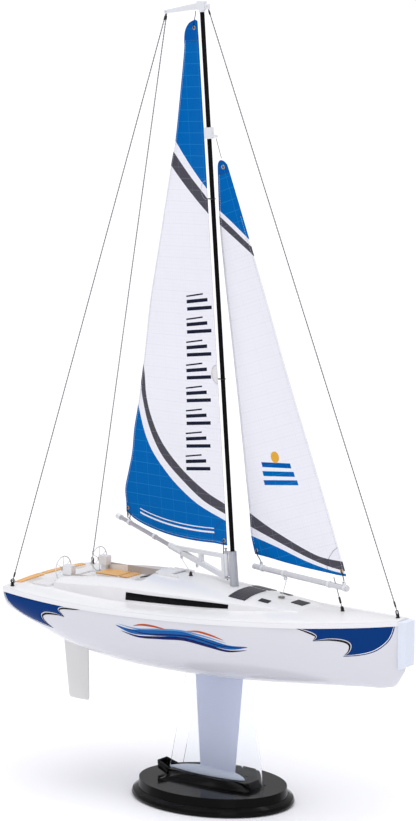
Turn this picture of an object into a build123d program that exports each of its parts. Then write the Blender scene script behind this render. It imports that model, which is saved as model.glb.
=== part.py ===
from build123d import *
import math
import os

os.makedirs("parts", exist_ok=True)

# Model sailing yacht on its display stand.  Millimetres, +Z up, +X to the bow, +Y to port.
# The origin is the centre of the stand's underside, on the surface that it stands on.

# ---------------------------------------------------------------- driving dimensions
hull_stern_x = -191.0        # transom
hull_bow_x = 204.5           # stem, behind the bumper
skin = 1.6                   # moulded wall thickness of hull and deck
half_beam = 68.0             # half of the greatest beam
sheer_low_z = 178.0          # lowest point of the sheer line
sheer_low_x = -85.0
bow_rise = 15.5              # how much higher the sheer is at the bow
stern_rise = 5.0

mast_r = 2.0
mast_rake_deg = 4.0
mast_foot = (22.3, 0.0, 227.0)
mast_len = 488.0

main_hinge = (15.5, 0.0, 219.0)      # gooseneck pin, parallel to the mast
main_trim_deg = 20.0                 # mainsail trimmed to port as stored
main_boom_end = 179.0
main_boom_slope = 0.217
main_boom_drop = -12.5

jib_eye = (142.0, 0.0, 191.0)        # jib pivot on the foredeck
jib_top = (2.9, 0.0, 603.8)          # jib halyard fitting
jib_trim_deg = 10.5

rudder_axis_x = -152.0
rudder_stock_r = 1.2
tiller_arm = 12.0
servo_axis_x = -112.0
winch_axis_x = -66.0
winch_arm_len = 26.0

keel_x0, keel_x1 = -19.0, 33.7       # fin root
keel_b0, keel_b1 = -13.2, 25.6       # fin tip
bulb_z = 21.5
bulb_r = 7.0

base_a, base_b = 80.0, 62.5          # stand foot, half lengths of the oval
base_top_a, base_top_b = 73.0, 55.5
base_h = 15.8

wheel_x, wheel_y, wheel_z, wheel_r = -150.6, 27.0, 198.9, 12.0
sole_z = 184.6                       # cockpit sole
sail_t = 0.5
wire_r = 0.25


def lerp(table, x, k):
    """Value k of a table of stations, by monotone straight runs between them."""
    if x <= table[0][0]:
        return table[0][k]
    for a, b in zip(table, table[1:]):
        if x <= b[0]:
            t = (x - a[0]) / (b[0] - a[0])
            return a[k] + (b[k] - a[k]) * t
    return table[-1][k]


# station: x, half beam at the sheer, height of the bottom on the centreline, fullness
hull_stations = [
    (-191.0, 66.0, 149.0, 2.30),
    (-166.0, 67.4, 138.8, 2.30),
    (-130.0, 68.0, 125.6, 2.25),
    (-85.0, 67.4, 118.2, 2.20),
    (-40.0, 64.8, 116.0, 2.15),
    (5.0, 60.3, 116.2, 2.10),
    (50.0, 54.4, 118.2, 2.05),
    (95.0, 46.0, 121.8, 2.00),
    (135.0, 36.0, 125.6, 1.95),
    (168.0, 24.5, 128.8, 1.95),
    (188.0, 16.0, 131.0, 2.00),
    (198.0, 11.2, 135.2, 2.20),
    (204.5, 8.2, 146.0, 2.60),
]


def sheer(x):
    if x > sheer_low_x:
        return sheer_low_z + bow_rise * ((x - sheer_low_x) / 291.0) ** 2
    return sheer_low_z + stern_rise * ((x - sheer_low_x) / 107.0) ** 2


def crown(x):
    """Height of the deck's crown above the sheer, on the centreline."""
    return lerp([(-191, 3.5), (-150, 5.0), (-65, 6.0), (40, 8.0), (100, 8.0), (142, 4.6), (180, 2.0), (205, 0.8)], x, 1)


def beam(x):
    return lerp(hull_stations, x, 1)


def deck_z(x, y):
    return sheer(x) + 1.0 + crown(x) * (1 - (y / beam(x)) ** 2)


def cross(x):
    """Plane across the boat at x: its own x runs to port and its own y runs up."""
    return Plane(origin=(x, 0, 0), x_dir=(0, 1, 0), z_dir=(1, 0, 0))


def hull_curve(b, s, k, n, count=8):
    """Points of a section from the port sheer round the bottom to the starboard sheer."""
    half = []
    for i in range(count + 1):
        t = (math.pi / 2) * i / count
        y = b * max(math.cos(t), 0.0) ** (2 / n) if i < count else 0.0
        z = s - (s - k) * math.sin(t) ** (2 / n)
        half.append((y, z))
    return half + [(-y, z) for y, z in reversed(half[:-1])]


def hull_section(x, inset, top):
    b, k, n = (lerp(hull_stations, x, i) for i in (1, 2, 3))
    s = sheer(x)
    pts = hull_curve(b - inset, s, k + inset, n)
    with BuildSketch(cross(x)) as section:
        with BuildLine():
            Spline(*pts)
            if top > 0:
                Line(pts[-1], (pts[-1][0], s + top))
                Line((pts[-1][0], s + top), (pts[0][0], s + top))
                Line((pts[0][0], s + top), pts[0])
            else:
                Line(pts[-1], pts[0])
        make_face()
    return section.sketch


def rod(a, b, r):
    """Round rod from a to b."""
    a, b = Vector(*a), Vector(*b)
    with BuildPart() as piece:
        with BuildSketch(Plane(origin=a, z_dir=(b - a))):
            Circle(r)
        extrude(amount=(b - a).length)
    return piece.part


# planes of the two sails, turned about their own hinge lines
def sail_frame(origin, up, trim_deg):
    up = Vector(*up).normalized()
    aft = Vector(0, 1, 0).cross(up).normalized()
    if aft.X > 0:
        aft = -aft
    a = math.radians(trim_deg)
    d = aft * math.cos(a) + Vector(0, 1, 0) * math.sin(a)
    return Plane(origin=Vector(*origin), x_dir=d, z_dir=d.cross(up))


rake = math.radians(mast_rake_deg)
mast_dir = (-math.sin(rake), 0.0, math.cos(rake))
main_plane = sail_frame(main_hinge, mast_dir, main_trim_deg)
jib_dir = tuple(jib_top[i] - jib_eye[i] for i in range(3))
jib_plane = sail_frame(jib_eye, jib_dir, jib_trim_deg)


def main_pt(r, s, off=0.0):
    return main_plane.from_local_coords(Vector(r, s, off)).to_tuple()


def jib_pt(r, s, off=0.0):
    return jib_plane.from_local_coords(Vector(r, s, off)).to_tuple()


def mast_pt(z, aft=0.0):
    t = (z - mast_foot[2]) / math.cos(rake)
    return (mast_foot[0] - t * math.sin(rake) - aft * math.cos(rake), 0.0, z - aft * math.sin(rake))


def finish(piece, name):
    piece.part.label = name
    export_step(piece.part, "parts/%s.step" % name)
    print(name, len(piece.part.solids()), round(piece.part.volume, 1))


# ================================================================ solids used as cutters
with BuildPart() as hull_form:
    for x in [row[0] for row in hull_stations]:
        add(hull_section(x, 0.0, 0.4))
    loft()

with BuildPart() as hull_room:
    for x in (-189.3, -166, -130, -85, -40, 5, 50, 95, 135, 168, 186, 196, 201.0):
        add(hull_section(x, skin, 6.0))
    loft()

hull_solid = hull_form.part
room_solid = hull_room.part

# ================================================================ display stand
with BuildPart() as stand_base:
    with BuildSketch(Plane.XY.offset(0.6)):
        Ellipse(base_a - 0.8, base_b - 0.8)
    with BuildSketch(Plane.XY.offset(2.6)):
        Ellipse(base_a, base_b)
    loft(ruled=True)
    with BuildSketch(Plane.XY.offset(2.6)):
        Ellipse(base_a, base_b)
    with BuildSketch(Plane.XY.offset(5.4)):
        Ellipse(base_a - 1.0, base_b - 1.0)
    loft(ruled=True)
    with BuildSketch(Plane.XY.offset(5.4)):
        Ellipse(base_a - 1.0, base_b - 1.0)
    with BuildSketch(Plane.XY.offset(7.8)):
        Ellipse(base_top_a + 1.6, base_top_b + 1.6)
    loft(ruled=True)
    with BuildSketch(Plane.XY.offset(7.8)):
        Ellipse(base_top_a + 0.6, base_top_b + 0.6)
    with BuildSketch(Plane.XY.offset(base_h)):
        Ellipse(base_top_a, base_top_b)
    loft(ruled=True)
    # hollow underside with a rim, and the pocket that the cradle drops into
    with BuildSketch(Plane.XY.offset(1.0)):
        Ellipse(base_top_a - 2.5, base_top_b - 2.5)
    extrude(amount=8.6, mode=Mode.SUBTRACT)
    with BuildSketch(Plane.XY.offset(0.6)):
        Ellipse(base_top_a - 2.5, base_top_b - 2.5)
    extrude(amount=0.4, mode=Mode.SUBTRACT)
    with BuildSketch(Plane.XY.offset(12.2)):
        with BuildLine():
            Polyline((-43, -27.5), (-43, 27.5), (49, 15), (49, -15), close=True)
        make_face()
    extrude(amount=6.0, mode=Mode.SUBTRACT)
    with BuildSketch(Plane.XY.offset(9.0)):
        with Locations((-30, 0), (30, 0)):
            Circle(1.3)
    extrude(amount=5, mode=Mode.SUBTRACT)

with BuildPart() as stand_pad:
    with BuildSketch(Plane.XY):
        Ellipse(base_a - 2.5, base_b - 2.5)
    extrude(amount=0.6)
finish(stand_pad, "stand_pad")

bulb_profile = [(-48.3, 0.0), (-47.4, 0.9), (-41.0, 2.6), (-28.0, 5.2), (-12.0, 6.8), (4.0, 7.0),
                (18.0, 6.1), (28.0, 4.4), (34.0, 2.2), (35.9, 0.0)]


def bulb_face(grow):
    with BuildSketch(Plane.XZ) as face:
        with BuildLine():
            pts = [(x, bulb_z + r + (grow if 0 < i < len(bulb_profile) - 1 else 0))
                   for i, (x, r) in enumerate(bulb_profile)]
            pts[0] = (pts[0][0] - grow, bulb_z)
            pts[-1] = (pts[-1][0] + grow, bulb_z)
            Spline(*pts)
            Line(pts[-1], pts[0])
        make_face()
    return face.sketch


# U-shaped clear sheet that keeps the hull upright: open aft, bent round the front of the fin
def u_sheet(z, xa, xf, h, grow):
    with BuildSketch(Plane.XY.offset(z)) as s:
        with BuildLine():
            l1 = Line((xa, -h - grow), (xf - h, -h - grow))
            a1 = ThreePointArc((xf - h, -h - grow), (xf + grow, 0), (xf - h, h + grow))
            l2 = Line((xf - h, h + grow), (xa, h + grow))
            l3 = Line((xa, h + grow), (xa, -h - grow))
        make_face()
    return s.sketch


with BuildPart() as clear_outer:
    add(u_sheet(13.2, -43.0, 54.6, 10.2, 0.5))
    add(u_sheet(124.0, -19.5, 38.0, 12.0, 0.5))
    loft()
with BuildPart() as clear_inner:
    add(u_sheet(13.0, -50.0, 54.6, 10.2, -0.5))
    add(u_sheet(124.2, -30.0, 38.0, 12.0, -0.5))
    loft()
with BuildPart() as clear_support:
    add(clear_outer.part)
    add(clear_inner.part, mode=Mode.SUBTRACT)
    add(hull_solid.moved(Location((0, 0, -0.4))), mode=Mode.SUBTRACT)
finish(clear_support, "clear_support")

base_body = stand_base.part
with BuildPart() as stand_base:
    add(base_body)
    add(clear_support.part, mode=Mode.SUBTRACT)
finish(stand_base, "stand_base")

with BuildPart() as cradle_form:
    with BuildSketch(Plane.XY.offset(12.3)):
        with BuildLine():
            Polyline((-42.5, -27), (-42.5, 27), (48.5, 14.5), (48.5, -14.5), close=True)
        make_face()
    with BuildSketch(Plane.XY.offset(16.2)):
        with BuildLine():
            Polyline((-42.5, -25), (-42.5, 25), (48.5, 13.5), (48.5, -13.5), close=True)
        make_face()
    loft(ruled=True)
    with BuildSketch(Plane.XY.offset(16.2)):
        with BuildLine():
            Polyline((-42.5, -25), (-42.5, 25), (48.5, 13.5), (48.5, -13.5), close=True)
        make_face()
    with BuildSketch(Plane.XY.offset(22.0)):
        with BuildLine():
            Polyline((-46.0, -9.4), (-46.0, 9.4), (-20, 12.6), (25, 12.6), (45.5, 8.0), (45.5, -8.0), (25, -12.6), (-20, -12.6), close=True)
        make_face()
    loft(ruled=True)

# upswept tail of the cradle, hollow
with BuildPart() as cradle_tail:
    with BuildSketch(cross(-44)):
        with BuildLine():
            Polyline((-10.5, 16.2), (-9.4, 22.6), (9.4, 22.6), (10.5, 16.2), close=True)
        make_face()
    with BuildSketch(cross(-57.5)):
        with BuildLine():
            Polyline((-6.5, 19.5), (-7.2, 27.4), (7.2, 27.4), (6.5, 19.5), close=True)
        make_face()
    loft(ruled=True)
with BuildPart() as cradle_hollow:
    with BuildSketch(cross(-42.4)):
        with BuildLine():
            Polyline((-7.6, 18.4), (-8.0, 30), (8.0, 30), (7.6, 18.4), close=True)
        make_face()
    with BuildSketch(cross(-56.2)):
        with BuildLine():
            Polyline((-5.0, 21.4), (-5.6, 30), (5.6, 30), (5.0, 21.4), close=True)
        make_face()
    loft(ruled=True)
with BuildPart() as bulb_room:
    add(bulb_face(0.6))
    revolve(axis=Axis((0, 0, bulb_z), (1, 0, 0)))
with BuildPart() as bulb_way:
    with BuildSketch(Plane.XY.offset(bulb_z)):
        with BuildLine():
            pts = [(x, r + 0.6) for x, r in bulb_profile[1:-1]]
            Spline((-49.0, 0.0), *pts, (36.6, 0.0))
            Spline((-49.0, 0.0), *[(x, -y) for x, y in pts], (36.6, 0.0))
        make_face()
    extrude(amount=12)
with BuildPart() as clear_slot:
    add(u_sheet(12.9, -43.4, 54.6, 10.2, 0.75))
    add(u_sheet(30.0, -43.4, 52.0, 10.5, 0.75))
    loft()
with BuildPart() as clear_core:
    add(u_sheet(12.0, -60.0, 54.6, 10.2, -0.75))
    add(u_sheet(31.0, -60.0, 52.0, 10.5, -0.75))
    loft()
clear_slot_ring = clear_slot.part - clear_core.part
with BuildPart() as stand_cradle:
    add(cradle_form.part)
    add(cradle_tail.part)
    add(cradle_hollow.part, mode=Mode.SUBTRACT)
    add(bulb_room.part, mode=Mode.SUBTRACT)
    add(bulb_way.part, mode=Mode.SUBTRACT)
    add(clear_slot_ring, mode=Mode.SUBTRACT)
    with BuildSketch(Plane.XY.offset(11.0)):
        with Locations((-30, 0), (30, 0)):
            Circle(0.9)
    extrude(amount=2.4, mode=Mode.SUBTRACT)
finish(stand_cradle, "stand_cradle")

with BuildPart() as cradle_screws:
    for sx in (-30, 30):
        with BuildSketch(Plane.XY.offset(7.6)):
            with Locations((sx, 0)):
                Circle(2.2)
        extrude(amount=1.9)
        with BuildSketch(Plane.XY.offset(9.5)):
            with Locations((sx, 0)):
                Circle(0.85)
        extrude(amount=3.6)
finish(cradle_screws, "cradle_screws")

# ================================================================ keel and ballast
def fin_form(grow):
    with BuildPart() as form:
        for z, x0, x1, t in ((24.0 - grow, keel_b0 - 0.3, keel_b1 - 0.4, 3.6), (120.0, keel_x0 - 0.4, keel_x1 + 0.6, 6.4)):
            with BuildSketch(Plane.XY.offset(z)):
                c = x1 - x0
                g = grow
                with BuildLine():
                    Polyline((x0 - g, 0.35 + g), (x0 + 0.55 * c, t / 2 + g), (x0 + 0.84 * c, t / 2 - 0.3 + g), (x1 + g, 0.35 + g),
                             (x1 + g, -0.35 - g), (x0 + 0.84 * c, -t / 2 + 0.3 - g), (x0 + 0.55 * c, -t / 2 - g), (x0 - g, -0.35 - g), close=True)
                make_face()
        loft(ruled=True)
    return form.part


with BuildPart() as fin_blade:
    add(fin_form(0.0))
with BuildPart() as fin_head:
    with BuildSketch(Plane.XY.offset(110.0)):
        with Locations((7.3, 0)):
            Rectangle(40, 4.4)
    extrude(amount=22.5)
with BuildPart() as keel_fin:
    add(fin_blade.part)
    add(hull_solid, mode=Mode.SUBTRACT)
    add(fin_head.part)
    with BuildSketch(Plane.XY.offset(122.0)):
        with Locations((-4.7, 0), (19.3, 0)):
            Circle(0.9)
    extrude(amount=11, mode=Mode.SUBTRACT)
finish(keel_fin, "keel_fin")

bulb_pocket = fin_form(0.06)
with BuildPart() as ballast_bulb:
    with BuildSketch(Plane.XZ):
        with BuildLine():
            bulb_line = Spline(*[(x, bulb_z + r) for x, r in bulb_profile], mode=Mode.PRIVATE)
            Polyline((bulb_profile[0][0], bulb_z), *[((bulb_line @ (k / 24)).X, (bulb_line @ (k / 24)).Y) for k in range(1, 24)],
                     (bulb_profile[-1][0], bulb_z), close=True)
        make_face()
    revolve(axis=Axis((0, 0, bulb_z), (1, 0, 0)))
    add(bulb_pocket, mode=Mode.SUBTRACT)
finish(ballast_bulb, "ballast_bulb")

with BuildPart() as keel_box:
    with BuildSketch(Plane.XY.offset(110.0)):
        with Locations((7.3, 0)):
            Rectangle(48, 11)
    extrude(amount=27)
    add(hull_solid - room_solid, mode=Mode.SUBTRACT)
    with BuildSketch(Plane.XY.offset(100.0)):
        with Locations((7.3, 0)):
            Rectangle(70, 40)
    extrude(amount=18.1, mode=Mode.SUBTRACT)
    with BuildSketch(Plane.XY.offset(109.0)):
        with Locations((7.3, 0)):
            Rectangle(40.2, 4.6)
    extrude(amount=23.6, mode=Mode.SUBTRACT)
    with BuildSketch(Plane.XY.offset(130.0)):
        with Locations((-4.7, 0), (19.3, 0)):
            Circle(1.2)
    extrude(amount=8, mode=Mode.SUBTRACT)
finish(keel_box, "keel_box")

with BuildPart() as keel_screws:
    for sx in (-4.7, 19.3):
        with BuildSketch(Plane.XY.offset(123.0)):
            with Locations((sx, 0)):
                Circle(0.85)
        extrude(amount=14.0)
        with BuildSketch(Plane.XY.offset(137.0)):
            with Locations((sx, 0)):
                Circle(2.1)
                RegularPolygon(0.9, 6, mode=Mode.SUBTRACT)
        extrude(amount=1.6)
        with BuildSketch(Plane.XY.offset(137.0)):
            with Locations((sx, 0)):
                Circle(1.2)
        extrude(amount=0.5)

# ================================================================ hull
with BuildPart() as hull_shell:
    for x in [row[0] for row in hull_stations]:
        add(hull_section(x, 0.0, 0.0))
    loft()
    add(room_solid, mode=Mode.SUBTRACT)
    with BuildSketch(Plane.XY.offset(105.0)):
        with Locations((7.3, 0)):
            Rectangle(40.1, 4.5)
    extrude(amount=20, mode=Mode.SUBTRACT)
    with BuildSketch(Plane.XY.offset(120.0)):
        with Locations((rudder_axis_x, 0)):
            Circle(2.4)
    extrude(amount=25, mode=Mode.SUBTRACT)
finish(hull_shell, "hull_shell")

# ---------------------------------------------------------------- deck, cabin and cockpit in one moulding
def deck_section(x, drop, inset, z_low):
    b, s, c = beam(x) - inset, sheer(x), crown(x)
    top = []
    for i in range(9):
        y = -b + 2 * b * i / 8
        top.append((y, s + 1.0 - drop + c * (1 - (y / beam(x)) ** 2)))
    with BuildSketch(cross(x)) as section:
        with BuildLine():
            Spline(*top)
            Line(top[-1], (b, s + z_low))
            Line((b, s + z_low), (-b, s + z_low))
            Line((-b, s + z_low), top[0])
        make_face()
    return section.sketch


# station: x, half width at the foot, half width at the top edge, top edge height, crown height
cabin_stations = [
    (-149.3, 43.7, 42.2, 189.0, 198.0),
    (-110.0, 45.8, 44.2, 191.8, 201.6),
    (-66.0, 46.4, 44.8, 194.2, 204.0),
    (-20.0, 43.4, 41.8, 194.4, 203.4),
    (20.0, 38.8, 37.2, 193.8, 201.2),
    (60.0, 32.6, 31.2, 192.8, 197.9),
    (95.0, 25.2, 23.8, 192.0, 194.7),
    (107.0, 22.4, 21.0, 191.7, 193.4),
]


def cabin_section(x, inset, drop, foot=None):
    wb, wt, ze, zc = (lerp(cabin_stations, x, i) for i in (1, 2, 3, 4))
    if foot is None:
        foot = deck_z(x, wb) - 1.0
    wb, wt, ze, zc = wb - inset, wt - inset, ze - drop, zc - drop
    arc = [(wt * q, zc - (zc - ze) * abs(q) ** 2.2) for q in (-1, -0.75, -0.5, -0.25, 0, 0.25, 0.5, 0.75, 1)]
    with BuildSketch(cross(x)) as section:
        with BuildLine():
            Spline(*arc)
            Line(arc[-1], (wb, foot))
            Line((wb, foot), (-wb, foot))
            Line((-wb, foot), arc[0])
        make_face()
    return section.sketch


with BuildPart() as deck_form:
    for x in (-191, -166, -130, -85, -40, 5, 50, 95, 135, 168, 188, 198, 204.5):
        add(deck_section(x, 0.0, 0.0, 0.0))
    loft()
with BuildPart() as deck_room:
    for x in (-189.3, -166, -130, -85, -40, 5, 50, 95, 135, 168, 186, 196, 201):
        add(deck_section(x, skin, 3.0, -2.0))
    loft()
with BuildPart() as cabin_form:
    for row in cabin_stations:
        add(cabin_section(row[0], 0.0, 0.0))
    loft()
with BuildPart() as cabin_nose:
    add(cabin_section(107.0, 0.0, 0.0))
    with BuildSketch(cross(109.6)):
        with BuildLine():
            Polyline((-20.6, 190.2), (0, 192.4), (20.6, 190.2), (20.6, 189.2), (-20.6, 189.2), close=True)
        make_face()
    loft(ruled=True)
with BuildPart() as cabin_room:
    for x in (-53.0, -20, 20, 60, 95, 104):
        add(cabin_section(x, skin + 0.4, skin, 176.0))
    loft()
with BuildPart() as coaming_room:
    with BuildSketch(Plane.XY.offset(sole_z)):
        with BuildLine():
            Polyline((-161, -29.5), (-161, 29.5), (-57, 30.5), (-57, -30.5), close=True)
        make_face()
        fillet(vertices(), 4)
    extrude(amount=40)
with BuildPart() as low_step:
    with BuildSketch(Plane.XY.offset(181.6)):
        with BuildLine():
            Polyline((-174, -46.0), (-174, 46.0), (-154, 44.5), (-154, -44.5), close=True)
        make_face()
        fillet(vertices(), 3)
    extrude(amount=4.6)

# two seats along the sides of the cockpit, with the footwell between them
with BuildPart() as seats:
    for side in (1, -1):
        with BuildSketch(Plane.XY.offset(182.0)):
            with Locations((-117.0, side * 18.6)):
                RectangleRounded(44, 25.5, 2)
        extrude(amount=7.6)

with BuildPart() as deck_moulding:
    add(deck_form.part)
    add(cabin_form.part)
    add(cabin_nose.part)
    add(low_step.part)
    add(deck_room.part, mode=Mode.SUBTRACT)
    add(cabin_room.part, mode=Mode.SUBTRACT)
    add(coaming_room.part, mode=Mode.SUBTRACT)
deck_a = deck_moulding.part

# cockpit sole and the bulkhead that closes the cabin behind the cockpit
with BuildPart() as cockpit_sole:
    with BuildSketch(Plane.XY.offset(sole_z - skin)):
        with BuildLine():
            Polyline((-163, -31.5), (-163, 31.5), (-55, 32.5), (-55, -32.5), close=True)
        make_face()
    extrude(amount=skin)

with BuildPart() as deck_moulding:
    add(deck_a)
    add(cockpit_sole.part)
    add(seats.part)
    # slot for the power switch
    with BuildSketch(Plane.XY.offset(170.0)):
        with Locations((-88.0, 0)):
            Rectangle(9.0, 3.4)
    extrude(amount=20, mode=Mode.SUBTRACT)
    # hole for the mast foot and for the two sheets
    with BuildSketch(Plane.XY.offset(170.0)):
        with Locations((24.15, 0)):
            Circle(2.3)
        with Locations((-24.6, 0)):
            Circle(1.0)
        with Locations((75.6, 0)):
            Circle(1.0)
    extrude(amount=50, mode=Mode.SUBTRACT)

# ---------------------------------------------------------------- pieces fixed to hull and deck
with BuildPart() as rail_form:
    for x in (-191.0, -166, -130, -85, -40, 5, 50, 95, 135, 168, 188, 198, 204.5):
        b, s = beam(x), sheer(x)
        with BuildSketch(cross(x)):
            Polyline_pts = [(-b - 0.7, s - 3.6), (-b - 0.7, s + 0.7), (b + 0.7, s + 0.7), (b + 0.7, s - 3.6)]
            with BuildLine():
                Polyline(*Polyline_pts, close=True)
            make_face()
    loft()
with BuildPart() as gunwale_rail:
    add(rail_form.part)
    add(hull_solid, mode=Mode.SUBTRACT)
    add(deck_form.part, mode=Mode.SUBTRACT)
print("rail", len(gunwale_rail.part.solids()))
finish(gunwale_rail, "gunwale_rail")

with BuildPart() as bow_bumper:
    for x, b, z0 in ((204.6, 9.2, 150.6), (208.0, 8.6, 152.0), (211.4, 7.4, 153.6)):
        with BuildSketch(cross(x)):
            with BuildLine():
                Polyline((-b + 0.8, z0), (-b, z0 + 12), (-b, 193.4), (b, 193.4), (b, z0 + 12), (b - 0.8, z0), close=True)
            make_face()
    loft(ruled=True)
finish(bow_bumper, "bow_bumper")


def side_z(x, q):
    """Point on the cabin side at x: q = 0 at the foot, 1 at the top edge."""
    wb, wt, ze = (lerp(cabin_stations, x, i) for i in (1, 2, 3))
    z0 = deck_z(x, wb) - 1.0
    return wb + (wt - wb) * q, z0 + (ze - z0) * q


with BuildPart() as side_windows:
    for side in (1, -1):
        rows = []
        for x, zl, zh in ((-64.0, 184.4, 191.2), (-40, 184.9, 191.3), (-10, 185.9, 191.7), (20, 187.1, 192.0), (42.0, 188.2, 191.9)):
            wb, wt, ze = (lerp(cabin_stations, x, i) for i in (1, 2, 3))
            z0 = deck_z(x, wb) - 1.0
            yl = wb + (wt - wb) * (zl - z0) / (ze - z0)
            yh = wb + (wt - wb) * (zh - z0) / (ze - z0)
            rows.append((x, yl, zl, yh, zh))
        for a, b in zip(rows, rows[1:]):
            for x, yl, zl, yh, zh in (a, b):
                with BuildSketch(cross(x)):
                    with BuildLine():
                        Polyline((side * (yl - 0.6), zl), (side * (yl + 0.5), zl), (side * (yh + 0.5), zh), (side * (yh - 0.6), zh), close=True)
                    make_face()
            loft(ruled=True)
finish(side_windows, "side_windows")


def roof_patch(name, outlines, up=0.5, down=0.5):
    """Thin panels that lie on the curved roof: outlines are plan shapes."""
    with BuildPart() as outer:
        for row in cabin_stations[1:]:
            add(cabin_section(row[0], 0.0, -up))
        loft()
    with BuildPart() as inner:
        for row in cabin_stations[1:]:
            add(cabin_section(row[0], 0.0, down))
        loft()
    with BuildPart() as piece:
        for pts in outlines:
            with BuildSketch(Plane.XY.offset(188.0)):
                with BuildLine():
                    Polyline(*pts, close=True)
                make_face()
            extrude(amount=30)
        add(outer.part, mode=Mode.INTERSECT)
        add(inner.part, mode=Mode.SUBTRACT)
    finish(piece, name)
    return piece.part


def rect(x0, x1, y0, y1):
    return [(x0, y0), (x1, y0), (x1, y1), (x0, y1)]


roof_panels = roof_patch("roof_panels", [rect(35.5, 53.5, -25.5, 8.0), rect(34.5, 53.5, 12.0, 24.5)])
roof_vents = roof_patch("roof_vents", [rect(64, 74.5, -20, -14), rect(64, 74.5, 14, 20)])
fore_hatch = roof_patch("fore_hatch", [rect(90, 102.5, -6.5, 6.5)])

# recesses for the windows and the roof pieces
moulding = deck_moulding.part
with BuildPart() as deck_moulding:
    add(moulding)
    for piece in (side_windows.part, roof_panels, roof_vents, fore_hatch):
        add(piece, mode=Mode.SUBTRACT)
print("deck solids", len(deck_moulding.part.solids()))
finish(deck_moulding, "deck_moulding")

# sliding companion hatch on two rails
with BuildPart() as hatch_rails:
    for side in (1, -1):
        with BuildSketch(Plane(origin=(-52.0, 0, 0), x_dir=(0, 1, 0), z_dir=(1, 0, 0))):
            with Locations((side * 12.6, 203.8)):
                Rectangle(1.6, 3.8)
        extrude(amount=22.0)
    add(deck_a, mode=Mode.SUBTRACT)
finish(hatch_rails, "hatch_rails")
with BuildPart() as companion_hatch:
    with BuildSketch(Plane(origin=(-56.0, 0, 0), x_dir=(0, 1, 0), z_dir=(1, 0, 0))):
        with BuildLine():
            Polyline((-11.4, 204.4), (11.4, 204.4), (11.4, 205.4), (0, 206.3), (-11.4, 205.4), close=True)
        make_face()
    extrude(amount=17.0)
    with BuildSketch(Plane(origin=(-56.0, 0, 0), x_dir=(0, 1, 0), z_dir=(1, 0, 0))):
        with Locations((0, 205.9)):
            Rectangle(8, 1.2)
    extrude(amount=1.6)
finish(companion_hatch, "companion_hatch")

with BuildPart() as washboard:
    with BuildSketch(cross(-59.0)):
        with BuildLine():
            Polyline((-8.0, sole_z + 0.2), (8.0, sole_z + 0.2), (9.6, 200.4), (-9.6, 200.4), close=True)
        make_face()
    extrude(amount=1.9)
finish(washboard, "washboard")

with BuildPart() as teak_pads:
    for side in (1, -1):
        with BuildSketch(Plane.XY.offset(189.6)):
            with Locations((-127.3, side * 18.0)):
                RectangleRounded(25.6, 21.5, 1)
        extrude(amount=0.9)
        with BuildSketch(Plane.XY.offset(189.6)):
            with Locations((-107.8, side * 18.0)):
                RectangleRounded(9.0, 21.5, 1)
        extrude(amount=0.9)
    with BuildSketch(Plane.XY.offset(sole_z)):
        with Locations((-117.0, 0)):
            RectangleRounded(40.0, 9.0, 1)
    extrude(amount=0.8)
finish(teak_pads, "teak_pads")

with BuildPart() as stern_teak:
    for side in (1, -1):
        with BuildSketch(Plane.XY.offset(184.0)):
            with BuildLine():
                Polyline((-189.5, side * 16.0), (-189.5, side * 50.0), (-183.5, side * 48.0), (-182.0, side * 16.0), close=True)
            make_face()
        extrude(amount=4.0)
    with BuildSketch(Plane.XY.offset(184.0)):
        with Locations((-186.0, 0)):
            Rectangle(6.0, 24.0)
    extrude(amount=4.0)
with BuildPart() as deck_skin_top:
    for x in (-191, -166, -130):
        add(deck_section(x, -0.8, 0.0, 0.0))
    loft()
with BuildPart() as stern_teak_2:
    add(stern_teak.part)
    add(deck_skin_top.part, mode=Mode.INTERSECT)
    add(deck_form.part, mode=Mode.SUBTRACT)
stern_teak = stern_teak_2
finish(stern_teak, "stern_teak")

with BuildPart() as instrument_pod:
    with BuildSketch(Plane(origin=(0, 9, 0), x_dir=(1, 0, 0), z_dir=(0, -1, 0))):
        with BuildLine():
            Polyline((-82.5, sole_z), (-79.5, 195.5), (-68.5, 197.8), (-64.0, 197.8), (-64.0, sole_z), close=True)
        make_face()
    extrude(amount=18)
    fillet(instrument_pod.edges().filter_by(Axis.Y).group_by(Axis.Z)[-1], 1.0)
finish(instrument_pod, "instrument_pod")
with BuildPart() as pod_display:
    with BuildSketch(Plane(origin=(-74.0, 0, 196.70), x_dir=(0, 1, 0), z_dir=(-0.2047, 0, 0.9788))):
        RectangleRounded(13, 7.5, 0.8)
    extrude(amount=0.7)
finish(pod_display, "pod_display")

with BuildPart() as helm_pedestals:
    for side in (1, -1):
        with BuildSketch(Plane.XY.offset(sole_z)):
            with Locations((-144.2, side * wheel_y)):
                RectangleRounded(7.0, 4.2, 1.0)
        with BuildSketch(Plane.XY.offset(195.0)):
            with Locations((-144.2, side * wheel_y)):
                RectangleRounded(6.0, 4.0, 1.0)
        loft()
        with BuildSketch(Plane.XY.offset(194.5)):
            with Locations((-144.0, side * wheel_y)):
                RectangleRounded(10.4, 8.0, 1.4)
        extrude(amount=8.4)
        with BuildSketch(Plane(origin=(-149.2, side * wheel_y, wheel_z), z_dir=(-1, 0, 0))):
            Circle(0.8)
        extrude(amount=3.0)
finish(helm_pedestals, "helm_pedestals")

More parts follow.
